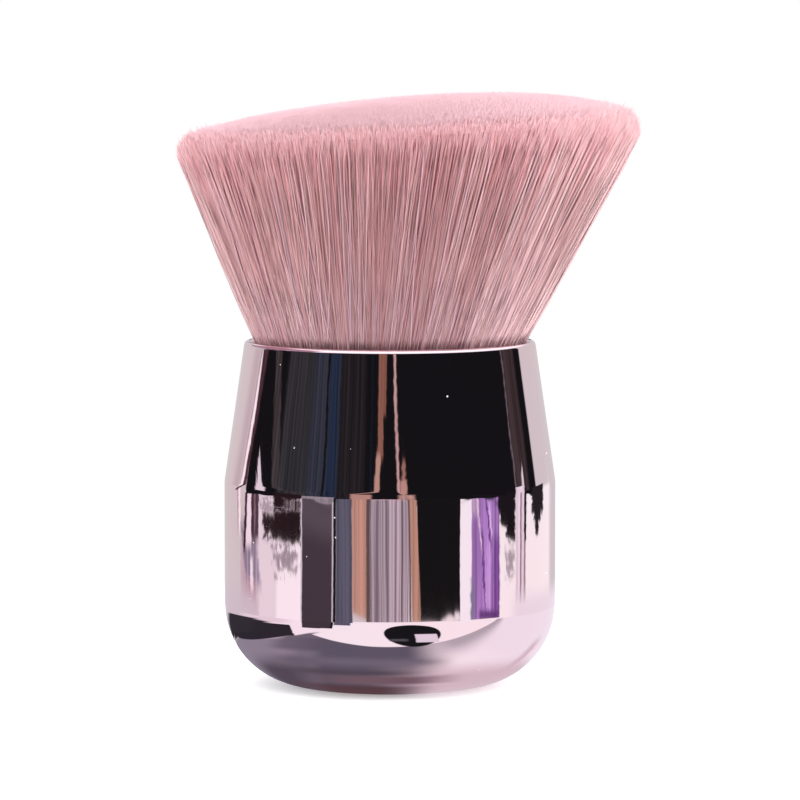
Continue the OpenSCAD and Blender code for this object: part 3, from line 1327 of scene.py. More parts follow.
    def thicken(
        self, kind: StrandKind, unit: np.ndarray, side: np.ndarray, front: np.ndarray,
        draw: np.random.Generator,
    ) -> tuple[np.ndarray, np.ndarray]:
        """Gives each strand its thickness, turned its own way.

        Args:
            kind: The part of the head.
            unit: The unit strand's vertices.
            side: The direction round the head, across each strand.
            front: The direction out of the bundle, across each strand.
            draw: The random numbers.

        Returns:
            The way from the centre line to each vertex, and each strand's radius.
        """
        turn = draw.uniform(0.0, FULL_TURN, kind.count)[:, None]
        radius = (kind.radius * draw.uniform(*self.thickness, kind.count))[:, None]
        slim = np.where(unit[:, 2] >= kind.rings[-1], self.end_thickness, 1.0)[None]
        across = radius * slim * (np.cos(turn) * unit[:, 0] - np.sin(turn) * unit[:, 1])
        deep = radius * slim * (np.sin(turn) * unit[:, 0] + np.cos(turn) * unit[:, 1])
        return deep[..., None] * front[:, None] - across[..., None] * side[:, None], radius

    def strand_mesh(
        self, name: str, verts: np.ndarray, unit: np.ndarray, faces: list[list[int]],
        column: np.ndarray, share: np.ndarray, lowered: np.ndarray,
    ) -> Mesh:
        """Makes one mesh of many strands.

        Args:
            name: The mesh's name.
            verts: Each strand's vertices.
            unit: The unit strand's vertices.
            faces: The unit strand's faces.
            column: Each strand's column on the map.
            share: How far up the map each strand's tip lies.
            lowered: By how much of the way each strand's low end is lowered.

        Returns:
            The mesh, with the strands' map.
        """
        count, each = verts.shape[:2]
        corners = np.array([v for face in faces for v in face])
        sizes = np.array([len(face) for face in faces])
        loops = (np.arange(count)[:, None] * each + corners[None]).ravel()
        starts = np.concatenate([[0], np.cumsum(np.tile(sizes, count))[:-1]])
        mesh = bpy.data.meshes.new(name)
        mesh.vertices.add(count * each)
        mesh.vertices.foreach_set("co", verts.astype(np.float32).ravel())
        mesh.loops.add(len(loops))
        mesh.loops.foreach_set("vertex_index", loops.astype(np.int32))
        mesh.polygons.add(count * len(faces))
        mesh.polygons.foreach_set("loop_start", starts.astype(np.int32))
        mesh.polygons.foreach_set("use_smooth", np.ones(count * len(faces), bool))
        mesh.update(calc_edges=True)
        across, up = self.unit_map(unit, faces)
        inset = self.column_inset
        u = (column[:, None] + inset + (1.0 - 2.0 * inset) * across[None]) / self.finish.columns
        at_foot = self.low_end(unit)[corners] & (up > self.foot_inset)
        used = 1.0 - 2.0 * self.foot_inset
        v = (up[None] - used * lowered[:, None] * at_foot[None]) * share[:, None]
        layer = mesh.uv_layers.new(name=STRAND_MAP, do_init=False)
        layer.uv.foreach_set("vector", np.stack([u, v], -1).astype(np.float32).ravel())
        return mesh

    def unit_map(self, unit: np.ndarray, faces: list[list[int]]) -> tuple[np.ndarray, np.ndarray]:
        """Lays the unit strand's faces side by side on its column.

        Args:
            unit: The unit strand's vertices.
            faces: Its faces.

        Returns:
            The place across the column and up it, for each corner of each face.
        """
        low = unit[:, 2].min()
        inset = self.foot_inset
        across, up = [], []
        for face in faces:
            height = unit[face, 2]
            turn = np.arctan2(unit[face, 1], unit[face, 0]) / FULL_TURN % 1.0
            point = np.hypot(unit[face, 0], unit[face, 1]) < 0.5
            base = np.ptp(height) == 0.0
            if not base and np.ptp(turn[~point]) > 0.5:
                turn = np.where(turn < 0.5, turn + 1.0, turn)
            turn = np.where(point, turn[~point].mean(), turn)
            across.append(turn / self.column_turns)
            above = inset + (1.0 - 2.0 * inset) * np.maximum(height, inset * (height - low))
            up.append(inset / 2 * turn if base else above)
        return np.concatenate(across), np.concatenate(up)

    def packed_core(self) -> None:
        """Builds the bundle's packed inside, from its bound end to just under the tips."""
        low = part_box("bristle_tuft")[0]
        span = self.edge_height - self.root_height
        bound = self.bound_radius / (self.root_radius * self.core_share)
        foot = (low.z - self.root_height) / span
        outline = [(0.0, foot), (bound, foot), (bound, self.core_neck)]
        outline += [(1.0, level) for level in self.core_levels]
        outline += [(reach, self.core_top_share) for reach in self.core_reaches]
        mesh = spun("bristle_core", outline, self.core_steps, self.core_sharp)
        flat = np.empty(len(mesh.vertices) * 3, np.float32)
        mesh.vertices.foreach_get("co", flat)
        unit = flat.reshape(-1, 3).astype(float)
        self.map_core(mesh, unit, outline)
        places = unit[:, :2] * self.core_share
        share = np.maximum(unit[:, 2:], 0.0)
        reach = np.linalg.norm(places, axis=1, keepdims=True) / self.core_share
        inside = places / np.maximum(reach, 1.0)
        points = self.roots(places) * (1.0 - share) + self.tips(inside) * share
        points[:, 2] += np.minimum(unit[:, 2], 0.0) * span
        mesh.vertices.foreach_set("co", points.astype(np.float32).ravel())
        mesh.update()
        piece = place(mesh)
        dress(piece, self.core_finish.build())
        join_body(piece, "bristle_tuft")

    @staticmethod
    def map_core(mesh: Mesh, unit: np.ndarray, outline: Outline) -> None:
        """Gives the core its map: round it across, and along its outline up.

        Args:
            mesh: The core's mesh.
            unit: Its vertices before they are bent to the head's shape.
            outline: The outline that was spun.
        """
        points = np.array(outline)
        way = np.concatenate([[0.0], np.cumsum(np.linalg.norm(np.diff(points, axis=0), axis=1))])
        way /= way[-1]
        reach = np.hypot(unit[:, 0], unit[:, 1])
        spot = np.stack([reach, unit[:, 2]], 1)
        near = np.argmin(np.linalg.norm(spot[:, None] - points[None], axis=2), axis=1)
        layer = mesh.uv_layers.new(name=STRAND_MAP, do_init=False)
        for face in mesh.polygons:
            verts = [mesh.loops[i].vertex_index for i in face.loop_indices]
            turns = np.array([math.atan2(unit[v, 1], unit[v, 0]) / FULL_TURN % 1.0 for v in verts])
            poles = np.array([reach[v] < NOTHING for v in verts])
            if np.ptp(turns[~poles]) > 0.5:
                turns = np.where(turns < 0.5, turns + 1.0, turns)
            turns = np.where(poles, turns[~poles].mean(), turns)
            for loop, vert, turn in zip(face.loop_indices, verts, turns):
                spot = np.array([min(turn, 1.0), way[near[vert]]])
                layer.uv[loop].vector = MAP_INSET + (1.0 - 2.0 * MAP_INSET) * spot

    def build(self) -> None:
        """Grows the whole head."""
        self.material = self.finish.build()
        draw = np.random.default_rng(self.seed)
        for kind in self.kinds:
            self.grow(kind, draw)
        self.packed_core()


@dataclass
class InnerParts:
    """Finishes for the sealed solids that keep their shape from the frame."""

    finishes: dict[str, tuple[Finish, Slot]] = field(default_factory=lambda: {
        "weight_pad": (PlainFinish(
            "closed_cell_foam", (0.05, 0.05, 0.055), (0.03, 0.03, 0.034), (0.8, 0.95),
            grain_scale=1800.0,
        ), Slot.FOAM),
        "counterweight": (TurnedFinish(
            "turned_steel", (0.62, 0.62, 0.64), (0.45, 0.45, 0.47), (0.25, 0.5),
        ), Slot.STEEL),
        "inner_core": (PlainFinish(
            "natural_moulding", (0.82, 0.80, 0.76), (0.76, 0.73, 0.69), (0.45, 0.6),
        ), Slot.CORE),
        "root_potting": (PlainFinish(
            "cast_resin", (0.78, 0.64, 0.38), (0.70, 0.54, 0.28), (0.12, 0.3),
            grain_scale=200.0,
        ), Slot.RESIN),
        "binding_band": (PlainFinish(
            "waxed_thread", (0.86, 0.83, 0.77), (0.74, 0.70, 0.63), (0.55, 0.75),
            grain_scale=2600.0,
        ), Slot.THREAD),
    })

    def build(self) -> None:
        """Gives each solid its finish."""
        for node, (finish, slot) in self.finishes.items():
            dress(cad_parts[node], finish.build())
            LOG.info("%s: %s", node, finish.name)


@dataclass(frozen=True)
class Patch:
    """One area of what the mirror shows.

    It lies on the round wall or on the table about the object: the span of turn is in degrees from
    the camera's side towards +X, and the span of rise is in the units of that surface. A lean moves
    the span of turn by so many degrees for a unit of rise above the given rise. A square patch lies
    along the frame's X and Y, in millimetres.
    """

    name: str
    turn: Range
    rise: Range
    colour: Colour
    soft: Range = (0.5, 0.002)
    ragged: float = 0.05
    flutes: float = 0.0
    oval: bool = False
    lean: tuple[float, float] | None = None
    square: bool = False


@dataclass(frozen=True)
class MirroredSurface:
    """A glowing surface of soft-edged patches, which only the mirror shows.

    Args:
        name: The surface's name.
        base: The colour where no patch lies.
        patches: The patches, each over the ones before it.
        ragged_turn: The size of the ragged edges' waves in degrees of turn.
        ragged_rise: Their size in units of rise.
        flute_stretch: How many of a fluted patch's folds lie in such a wave, along turn and rise.
        ragged_reach: How far the raggedness can move an edge, in waves.
        fold_span: The noise's values from a fold's bottom to its top.
        fold_light: The light on a fold's bottom and top.
        margin: How far outside a band a patch can still show in it, by its raggedness.
    """

    name: str
    base: Colour
    patches: tuple[Patch, ...]
    ragged_turn: float
    ragged_rise: float
    flute_stretch: Range
    ragged_reach: float = 3.0
    ragged_detail: float = 5.0
    ragged_roughness: float = 0.62
    fold_span: Range = (0.32, 0.68)
    fold_light: Range = (0.35, 1.45)
    margin: float = 0.006

    def rise(self, nodes: Nodes, where: Socket) -> Socket:
        """A point's rise: its height, where the surface doesn't measure it another way.

        Args:
            nodes: The material's node builder.
            where: The coordinates' socket.

        Returns:
            The rise's socket.
        """
        return nodes.split("XYZ", where)["Z"]

    def shows(self, patch: Patch, band: Range | None) -> bool:
        """Tells whether a patch reaches into a band, or true where there are no bands."""
        spill = self.margin + patch.soft[1]
        low, high = patch.rise
        return band is None or (low - spill <= band[1] and high + spill >= band[0])

    def build(self, band: Range | None = None) -> Material:
        """Builds the material of the whole surface, or of one band of it.

        Args:
            band: The span of rise that the band covers.

        Returns:
            The material.
        """
        material, nodes = bare_material(self.name)
        where = nodes.add("TexCoord").outputs["Object"]
        x, y = nodes.split("XYZ", where)[:2]
        turn = nodes.maths("ARCTAN2", x, nodes.maths("MULTIPLY", y, -1.0))
        turn = nodes.maths("DEGREES", turn)
        rise = self.rise(nodes, where)
        plan = [nodes.maths("DIVIDE", value, MM) for value in (x, y)]
        flat = nodes.add("CombineXYZ")
        nodes.link(nodes.maths("MULTIPLY", turn, 1.0 / self.ragged_turn), flat.inputs["X"])
        nodes.link(nodes.maths("MULTIPLY", rise, 1.0 / self.ragged_rise), flat.inputs["Y"])
        sway, bob = self.raggedness(nodes, flat.outputs["Vector"])
        stretch = (*self.flute_stretch, 1.0)
        folds = nodes.noise(nodes.stretched(flat.outputs["Vector"], stretch), 1.0, 3.0)
        folds = nodes.spread(folds, self.fold_span, self.fold_light)
        colour = self.base
        for patch in self.patches:
            if not self.shows(patch, band):
                continue
            spot = plan if patch.square else [turn, rise]
            if patch.lean:
                slope, origin = patch.lean
                shift = nodes.maths("MULTIPLY", nodes.maths("SUBTRACT", rise, origin), slope)
                spot = [nodes.maths("SUBTRACT", turn, shift), rise]
            mask = self.mask(nodes, patch, *spot, sway, bob)
            shade = patch.colour
            if patch.flutes:
                folded = nodes.add("VectorMath", operation="SCALE")
                folded.inputs[0].default_value = shade
                nodes.link(folds, folded.inputs["Scale"])
                shade = nodes.mix(patch.flutes, shade, folded.outputs["Vector"])
            colour = nodes.mix(mask, colour, shade)
        nodes.surface(nodes.glow(colour))
        return material

    def raggedness(
        self, nodes: Nodes, flat: Socket,
    ) -> tuple[Socket, Socket]:
        """Makes the noise that frays the patches' edges.

        Args:
            nodes: The material's node builder.
            flat: The coordinates in waves.

        Returns:
            How far an edge is moved along the turn, and along the rise.
        """
        wobble = nodes.add("TexNoise")
        nodes.link(flat, wobble.inputs["Vector"])
        wobble.inputs["Scale"].default_value = 1.0
        wobble.inputs["Detail"].default_value = self.ragged_detail
        wobble.inputs["Roughness"].default_value = self.ragged_roughness
        parts = nodes.split("Color", wobble.outputs["Color"])
        off = [nodes.maths("SUBTRACT", parts[channel], 0.5) for channel in ("Red", "Green")]
        sway = nodes.maths("MULTIPLY", off[0], self.ragged_reach * self.ragged_turn)
        bob = nodes.maths("MULTIPLY", off[1], self.ragged_reach * self.ragged_rise)
        return sway, bob

    @staticmethod
    def mask(
        nodes: Nodes, patch: Patch, turn: Socket, rise: Socket,
        sway: Socket, bob: Socket,
    ) -> Socket:
        """Places the group that tells where a patch lies.

        Args:
            nodes: The material's node builder.
            patch: The patch.
            turn: The point's turn.
            rise: The point's rise.
            sway: The raggedness along the turn.
            bob: The raggedness along the rise.

        Returns:
            1 on the patch and 0 off it.
        """
        node = nodes.add("Group", node_tree=GROUPS.patch)
        node.label = patch.name
        for label, socket in (("Turn", turn), ("Rise", rise), ("Sway", sway), ("Bob", bob)):
            nodes.link(socket, node.inputs[label])
        spans = (patch.turn, patch.rise)
        for axis, (low, high), soft in zip(("Turn", "Rise"), spans, patch.soft):
            node.inputs[axis + " Low"].default_value = low
            node.inputs[axis + " High"].default_value = high
            node.inputs[axis + " Soft"].default_value = soft
        node.inputs["Ragged"].default_value = patch.ragged
        return node.outputs["Oval" if patch.oval else "Mask"]


@dataclass(frozen=True)
class MirroredTable(MirroredSurface):
    """A mirrored table, whose rise tells how near a point lies to the handle's foot.

    The rise is minus the logarithm of the distance, in millimetres, from a ring under the base. The
    base's rounding squeezes the table's picture this way, so that spans on this scale look even.
    """

    ring: float = 12.0
    least_distance: float = 0.3
    log_base: float = 10.0

    def rise(self, nodes: Nodes, where: Socket) -> Socket:
        """A point's rise, from its distance.

        Args:
            nodes: The material's node builder.
            where: The coordinates' socket.

        Returns:
            The rise's socket.
        """
        gap = nodes.maths("SUBTRACT", nodes.maths("DIVIDE", nodes.length(where), MM), self.ring)
        gap = nodes.maths("MAXIMUM", gap, self.least_distance)
        return nodes.maths("MULTIPLY", nodes.maths("LOGARITHM", gap, self.log_base), -1.0)


# The wall paints the room that the handle's mirror shows as glowing patches, with its light and
# shade painted in: the sky, glare, shine, glow and light patches are painted light, and the shadow
# and shade patches are painted shade.
WALL = MirroredSurface(
    "mirrored_wall", (0.67, 0.635, 0.645),
    (
        Patch("sky", (-200, 200), (0.42, 9.0), (1.28, 1.24, 1.28), (5.0, 0.10)),
        Patch("sky_left", (-150, -64), (0.30, 0.95), (0.40, 0.22, 0.30), (6.0, 0.12), 0.3),
        Patch("right_silhouette", (156, 200), (-0.30, -0.03), (0.62, 0.61, 0.65), (5.0, 0.01)),
        Patch("lower_right_light", (79, 146), (-0.30, 0.00), (1.0, 0.985, 1.0), (3.0, 0.03)),
        Patch("lower_left_light", (-106, -62), (-0.30, -0.02), (0.84, 0.77, 0.82), (3.0, 0.01)),
        Patch("lower_left_glare", (-85, -62), (-0.30, -0.02), (1.02, 0.98, 1.02), (2.0, 0.01)),
        Patch("lower_left_mauve", (-126, -104), (-0.30, -0.072), (0.66, 0.52, 0.60),
            (3.0, 0.012), 0.5, 0.3),
        Patch("lobe_veil", (-121.5, -104), (-0.0900, -0.070), (0.38, 0.325, 0.42),
            (1.6, 0.004), 0.5, 0.6, lean=(-420.0, -0.080)),
        Patch("lobe_blush", (-118.5, -105.5), (-0.0958, -0.0885), (0.56, 0.36, 0.42),
            (2.5, 0.003), 0.5, 0.3),
        Patch("lobe_shine", (-112.5, -109.5), (-0.0925, -0.0800), (0.92, 0.86, 0.92),
            (0.8, 0.002), 0.3),
        Patch("lobe_light", (-118.5, -111.0), (-0.0768, -0.03), (0.93, 0.82, 0.90),
            (0.6, 0.002), 0.3),
        Patch("lobe_near", (-111.0, -103.4), (-0.0748, -0.03), (0.070, 0.045, 0.062),
            (0.6, 0.002), 0.5, 0.5),
        Patch("lobe_near_glow", (-108.2, -106.8), (-0.0735, -0.0600), (0.24, 0.15, 0.18),
            (0.6, 0.003), 0.4),
        Patch("lobe_far", (-121.6, -118.4), (-0.0782, 0.03), (0.055, 0.032, 0.045),
            (0.6, 0.0012), 0.4, 0.6, lean=(171.0, -0.0772)),
        Patch("left_streak", (-121.2, -118.0), (0.03, 0.40), (1.12, 1.08, 1.10), (0.5, 0.003), 0.4,
            lean=(118.0, 0.0924)),
        Patch("streak_foot", (-129.6, -126.2), (-0.0725, 0.03), (1.0, 0.93, 0.98),
            (0.6, 0.003), 0.3),
        Patch("streak_shade", (-131.6, -129.6), (-0.0725, 0.03), (0.50, 0.40, 0.46),
            (0.6, 0.003), 0.3),
        Patch("streak_edge", (-122.4, -121.1), (0.06, 0.33), (0.40, 0.30, 0.35), (0.5, 0.01), 0.2,
            lean=(118.0, 0.0924)),
        Patch("upper_dark", (-117.5, 121), (-0.0594, 0.33), (0.0075, 0.0075, 0.009),
            (1.0, 0.0004), 0.05),
        Patch("upper_left_mauve", (-130, -122.5), (0.0, 0.33), (0.55, 0.47, 0.51), (5.0, 0.01), 0.1,
            lean=(118.0, 0.0924)),
        Patch("upper_maroon", (-118.2, -115.0), (-0.05, 0.33), (0.070, 0.034, 0.046),
            (0.6, 0.004), 0.4, lean=(118.0, 0.0924)),
        Patch("upper_mauve", (-114, -97), (0.200, 0.33), (0.30, 0.15, 0.21), (1.5, 0.010), 0.6),
        Patch("upper_mauve_tip", (-109.5, -102), (0.170, 0.33), (0.13, 0.07, 0.10),
            (1.2, 0.02), 0.6),
        Patch("upper_charcoal", (-84, -60), (-0.03, 0.33), (0.034, 0.036, 0.041),
            (2.0, 0.01), 0.4, 0.6),
        Patch("upper_fold", (-97, -85.5), (0.06, 0.33), (0.055, 0.049, 0.051),
            (1.2, 0.01), 0.9, 0.5, lean=(-330.0, 0.1448)),
        Patch("upper_slate", (-60, -37), (-0.02, 0.33), (0.034, 0.042, 0.060),
            (2.0, 0.01), 0.3, 0.6),
        Patch("upper_navy", (-45, -38.4), (-0.02, 0.33), (0.018, 0.031, 0.062),
            (0.8, 0.01), 0.3, 0.7),
        Patch("navy_edge", (-47.6, -46.0), (-0.02, 0.33), (0.006, 0.007, 0.010), (0.4, 0.01), 0.3),
        Patch("upper_grey", (-35.5, -18), (-0.03, 0.33), (0.020, 0.018, 0.021),
            (1.5, 0.01), 0.3, 0.6),
        Patch("upper_blue_line", (-13.8, -12.9), (0.0, 0.33), (0.008, 0.015, 0.026),
            (0.6, 0.01), 0.3),
        Patch("tan_top", (-8.8, -4.9), (0.2085, 0.33), (0.27, 0.13, 0.095),
            (0.5, 0.002), 0.25, 0.3),
        Patch("tan_top_right", (-6.0, -2.6), (0.2262, 0.33), (0.24, 0.11, 0.08),
            (0.5, 0.0015), 0.3, 0.3),
        Patch("tan_kink", (-9.7, -6.5), (0.1915, 0.2095), (0.50, 0.31, 0.245), (0.5, 0.001), 0.25,
            lean=(115.0, 0.2085)),
        Patch("tan_foot", (-12.6, -9.4), (0.120, 0.1925), (0.50, 0.30, 0.25), (0.7, 0.004), 0.2,
            lean=(215.0, 0.190)),
        Patch("tan_toe", (-26.5, -13), (-0.055, 0.118), (0.48, 0.28, 0.23), (1.2, 0.012), 0.3),
        Patch("pink_line", (3.1, 4.9), (0.0, 0.33), (0.56, 0.37, 0.35), (0.5, 0.01), 0.3, 0.3,
            lean=(-50.0, 0.2334)),
        Patch("spur_top", (8.3, 10.6), (0.17, 0.2085), (0.36, 0.19, 0.15), (0.5, 0.001), 0.6),
        Patch("spur", (7.0, 11.6), (0.14, 0.199), (0.52, 0.30, 0.25), (0.8, 0.002), 0.4),
        Patch("spur_foot", (5.5, 17), (-0.04, 0.11), (0.50, 0.31, 0.27), (1.5, 0.03), 0.4, 0.5),
        Patch("right_edge_line", (96.4, 97.9), (0.10, 0.33), (0.15, 0.125, 0.14),
            (0.5, 0.012), 0.4),
        Patch("upper_brown", (98, 112.5), (0.0, 0.33), (0.050, 0.036, 0.038),
            (1.2, 0.01), 0.3, 0.6),
        Patch("crease_glare", (-107, -96), (0.02, 0.1022), (0.80, 0.74, 0.80), (0.8, 0.0008), 0.9),
        Patch("blot_mist", (-100, -87), (-0.0690, -0.0615), (0.42, 0.37, 0.41), (0.8, 0.0005), 3.4),
        Patch("blot", (-87, -63), (-0.0768, 0.02), (0.020, 0.011, 0.013), (0.5, 0.0005), 1.4),
        Patch("blot_left", (-98.5, -85), (-0.0752, -0.0690), (0.024, 0.013, 0.015),
            (0.5, 0.0005), 1.8),
        Patch("blot_flecks", (-92, -63.5), (-0.0652, -0.0642), (0.50, 0.44, 0.48),
            (0.4, 0.0003), 3.4),
        Patch("blot_drips", (-88, -65), (-0.0840, -0.0785), (0.36, 0.31, 0.35), (0.5, 0.0004), 3.2),
        Patch("panel_over", (-62.8, -38.6), (-0.062, 0.0), (0.33, 0.30, 0.345),
            (0.3, 0.001), 0.1, 0.4),
        Patch("panel_frame", (-63.4, -38.4), (-0.30, -0.0598), (0.60, 0.57, 0.63),
            (0.25, 0.0006), 0.12),
        Patch("panel", (-62.4, -39.9), (-0.30, -0.0606), (0.060, 0.046, 0.060),
            (0.25, 0.0005), 0.1),
        Patch("panel_top", (-62.2, -40.1), (-0.0725, -0.0610), (0.100, 0.082, 0.100),
            (0.3, 0.005), 0.0),
        Patch("panel_gap", (-38.9, -36.9), (-0.30, -0.050), (0.012, 0.011, 0.013),
            (0.3, 0.001), 0.1),
        Patch("screen", (-36.9, -25.6), (-0.30, -0.040), (0.108, 0.112, 0.155),
            (0.5, 0.001), 0.1, 0.35),
        Patch("sheet_horizon", (-25.0, 92), (-0.30, -0.1012), (0.98, 0.935, 0.97), (0.5, 0.0004)),
        Patch("tan_light", (-25.6, -15.2), (-0.0980, -0.030), (0.54, 0.31, 0.235),
            (0.8, 0.0003), 0.1, 0.3),
        # Painted shadow beside the tan strip.
        Patch("tan_shadow", (-15.8, -13.2), (-0.1010, -0.030), (0.12, 0.085, 0.085),
            (0.5, 0.0003), 0.1),
        Patch("drape", (-13.2, 12.6), (-0.1012, -0.035), (0.40, 0.345, 0.395),
            (0.4, 0.0003), 0.15, 1.0),
        Patch("drape_top", (-13.2, 12.6), (-0.060, -0.035), (0.50, 0.38, 0.41),
            (0.4, 0.002), 0.5, 0.6),
        Patch("black", (18.5, 49.4), (-0.1012, 0.0), (0.0085, 0.0085, 0.0095), (0.3, 0.0003), 0.03),
        Patch("black_glare", (41.0, 49.4), (-0.1010, -0.0966), (0.94, 0.90, 0.93),
            (1.8, 0.0008), 0.4, lean=(1500.0, -0.0966)),
        # Painted glare on the black's corner.
        Patch("black_corner_glare", (45.8, 49.4), (-0.0980, -0.0948), (0.94, 0.90, 0.93),
            (1.0, 0.0008), 0.4),
        Patch("tan_2", (13.4, 19.0), (-0.1012, -0.035), (0.50, 0.30, 0.22), (0.5, 0.0003), 0.1, 0.4,
            lean=(-70.0, -0.070)),
        Patch("tan_2_edge", (12.4, 13.6), (-0.1010, -0.035), (0.14, 0.09, 0.10), (0.4, 0.0003), 0.1,
            lean=(-40.0, -0.070)),
        Patch("white", (49.3, 57.8), (-0.30, -0.0598), (0.97, 0.98, 1.03), (0.25, 0.0004), 0.12),
        Patch("violet", (57.8, 80.8), (-0.1000, -0.0592), (0.46, 0.26, 0.67),
            (0.4, 0.0003), 0.2, 0.7),
        Patch("violet_pale", (58.6, 63.0), (-0.0655, -0.0594), (0.80, 0.62, 0.88),
            (0.8, 0.002), 0.6, 0.7),
        Patch("violet_low", (57.0, 60.1), (-0.1000, -0.0840), (0.27, 0.25, 0.42),
            (0.8, 0.004), 0.4, 0.4),
        Patch("violet_line", (66.6, 67.8), (-0.0965, -0.0700), (0.13, 0.045, 0.21),
            (0.5, 0.002), 0.5, lean=(-150.0, -0.0804)),
        Patch("violet_light", (69.6, 73.0), (-0.0955, -0.0740), (0.54, 0.35, 0.72),
            (1.0, 0.004), 0.5, 0.5),
        # Painted highlight on a fold of the violet thing.
        Patch("violet_fold", (64.5, 65.4), (-0.0755, -0.0600), (0.86, 0.72, 0.94),
            (0.35, 0.002), 0.5, lean=(-235.0, -0.0740)),
        Patch("violet_line_2", (71.4, 72.6), (-0.0770, -0.0600), (0.10, 0.03, 0.17),
            (0.4, 0.002), 0.5, lean=(-225.0, -0.0721)),
        # Painted highlight on another fold of the violet thing.
        Patch("violet_fold_2", (73.3, 74.3), (-0.0735, -0.0600), (0.80, 0.64, 0.92),
            (0.35, 0.002), 0.5, lean=(-225.0, -0.0721)),
        Patch("violet_deep", (75.5, 80.8), (-0.1000, -0.0740), (0.26, 0.11, 0.43),
            (1.4, 0.003), 0.4, 0.6),
        # Painted shade at the violet thing's foot.
        Patch("violet_foot_shade", (64, 80), (-0.1000, -0.0965), (0.12, 0.04, 0.20), (1.5, 0.0012), 0.3),
        Patch("right_blot", (87, 96.2), (-0.0756, 0.02), (0.012, 0.010, 0.013), (0.4, 0.0005), 0.9),
        Patch("right_blot_side", (80.9, 92), (-0.0706, 0.02), (0.012, 0.010, 0.013),
            (0.5, 0.0005), 0.7, lean=(-330.0, -0.0655)),
        Patch("right_wisps", (87.5, 94.5), (-0.0850, -0.0775), (0.42, 0.38, 0.43),
            (0.8, 0.0008), 2.0),
        Patch("strip", (96.2, 106.5), (-0.0946, 0.1015), (0.84, 0.76, 0.83),
            (0.4, 0.0008), 0.4, 0.2),
        Patch("strip_line", (101.2, 102.8), (-0.0946, -0.030), (0.30, 0.21, 0.28),
            (0.4, 0.001), 0.2),
        Patch("strip_edge", (105.6, 107.8), (-0.0946, -0.030), (0.36, 0.28, 0.34),
            (0.4, 0.001), 0.15),
        Patch("strip_edge_dark", (105.8, 108.3), (-0.0750, 0.06), (0.016, 0.013, 0.016),
            (0.3, 0.001), 0.4),
        Patch("right_spike", (115.6, 132.8), (-0.0668, 0.035), (0.020, 0.017, 0.020),
            (0.5, 0.0006), 0.7),
        Patch("spike_middle", (118.6, 129.2), (-0.0700, -0.05), (0.020, 0.017, 0.020),
            (0.5, 0.0006), 0.9),
        Patch("right_spike_tip", (120.4, 125.6), (-0.0738, -0.06), (0.020, 0.017, 0.020),
            (0.5, 0.0006), 0.9),
        Patch("right_far_line", (147, 149.5), (-0.30, -0.05), (0.80, 0.74, 0.80),
            (0.6, 0.002), 0.2),
        Patch("floor_right", (94, 200), (-0.30, -0.0925), (0.87, 0.84, 0.91), (6.0, 0.0045), 0.1),
        Patch("floor_left", (-200, -104), (-0.30, -0.0935), (0.66, 0.60, 0.65), (5.0, 0.006), 0.1),
        Patch("rear_dark", (-200, -173), (-0.30, -0.035), (0.10, 0.095, 0.11),
            (0.6, 0.01), 0.1, 0.5),
        Patch("rear_dark_top", (-200, -173), (0.135, 0.33), (0.10, 0.095, 0.11),
            (0.6, 0.01), 0.1, 0.5),
        Patch("rear_grey", (174, 200), (-0.30, -0.035), (0.26, 0.25, 0.28), (0.6, 0.01), 0.1, 0.5),
        Patch("rear_grey_top", (174, 200), (0.135, 0.33), (0.26, 0.25, 0.28),
            (0.6, 0.01), 0.1, 0.5),
    ),
    ragged_turn=4.0, ragged_rise=0.0022, flute_stretch=(2.4, 0.012),
)

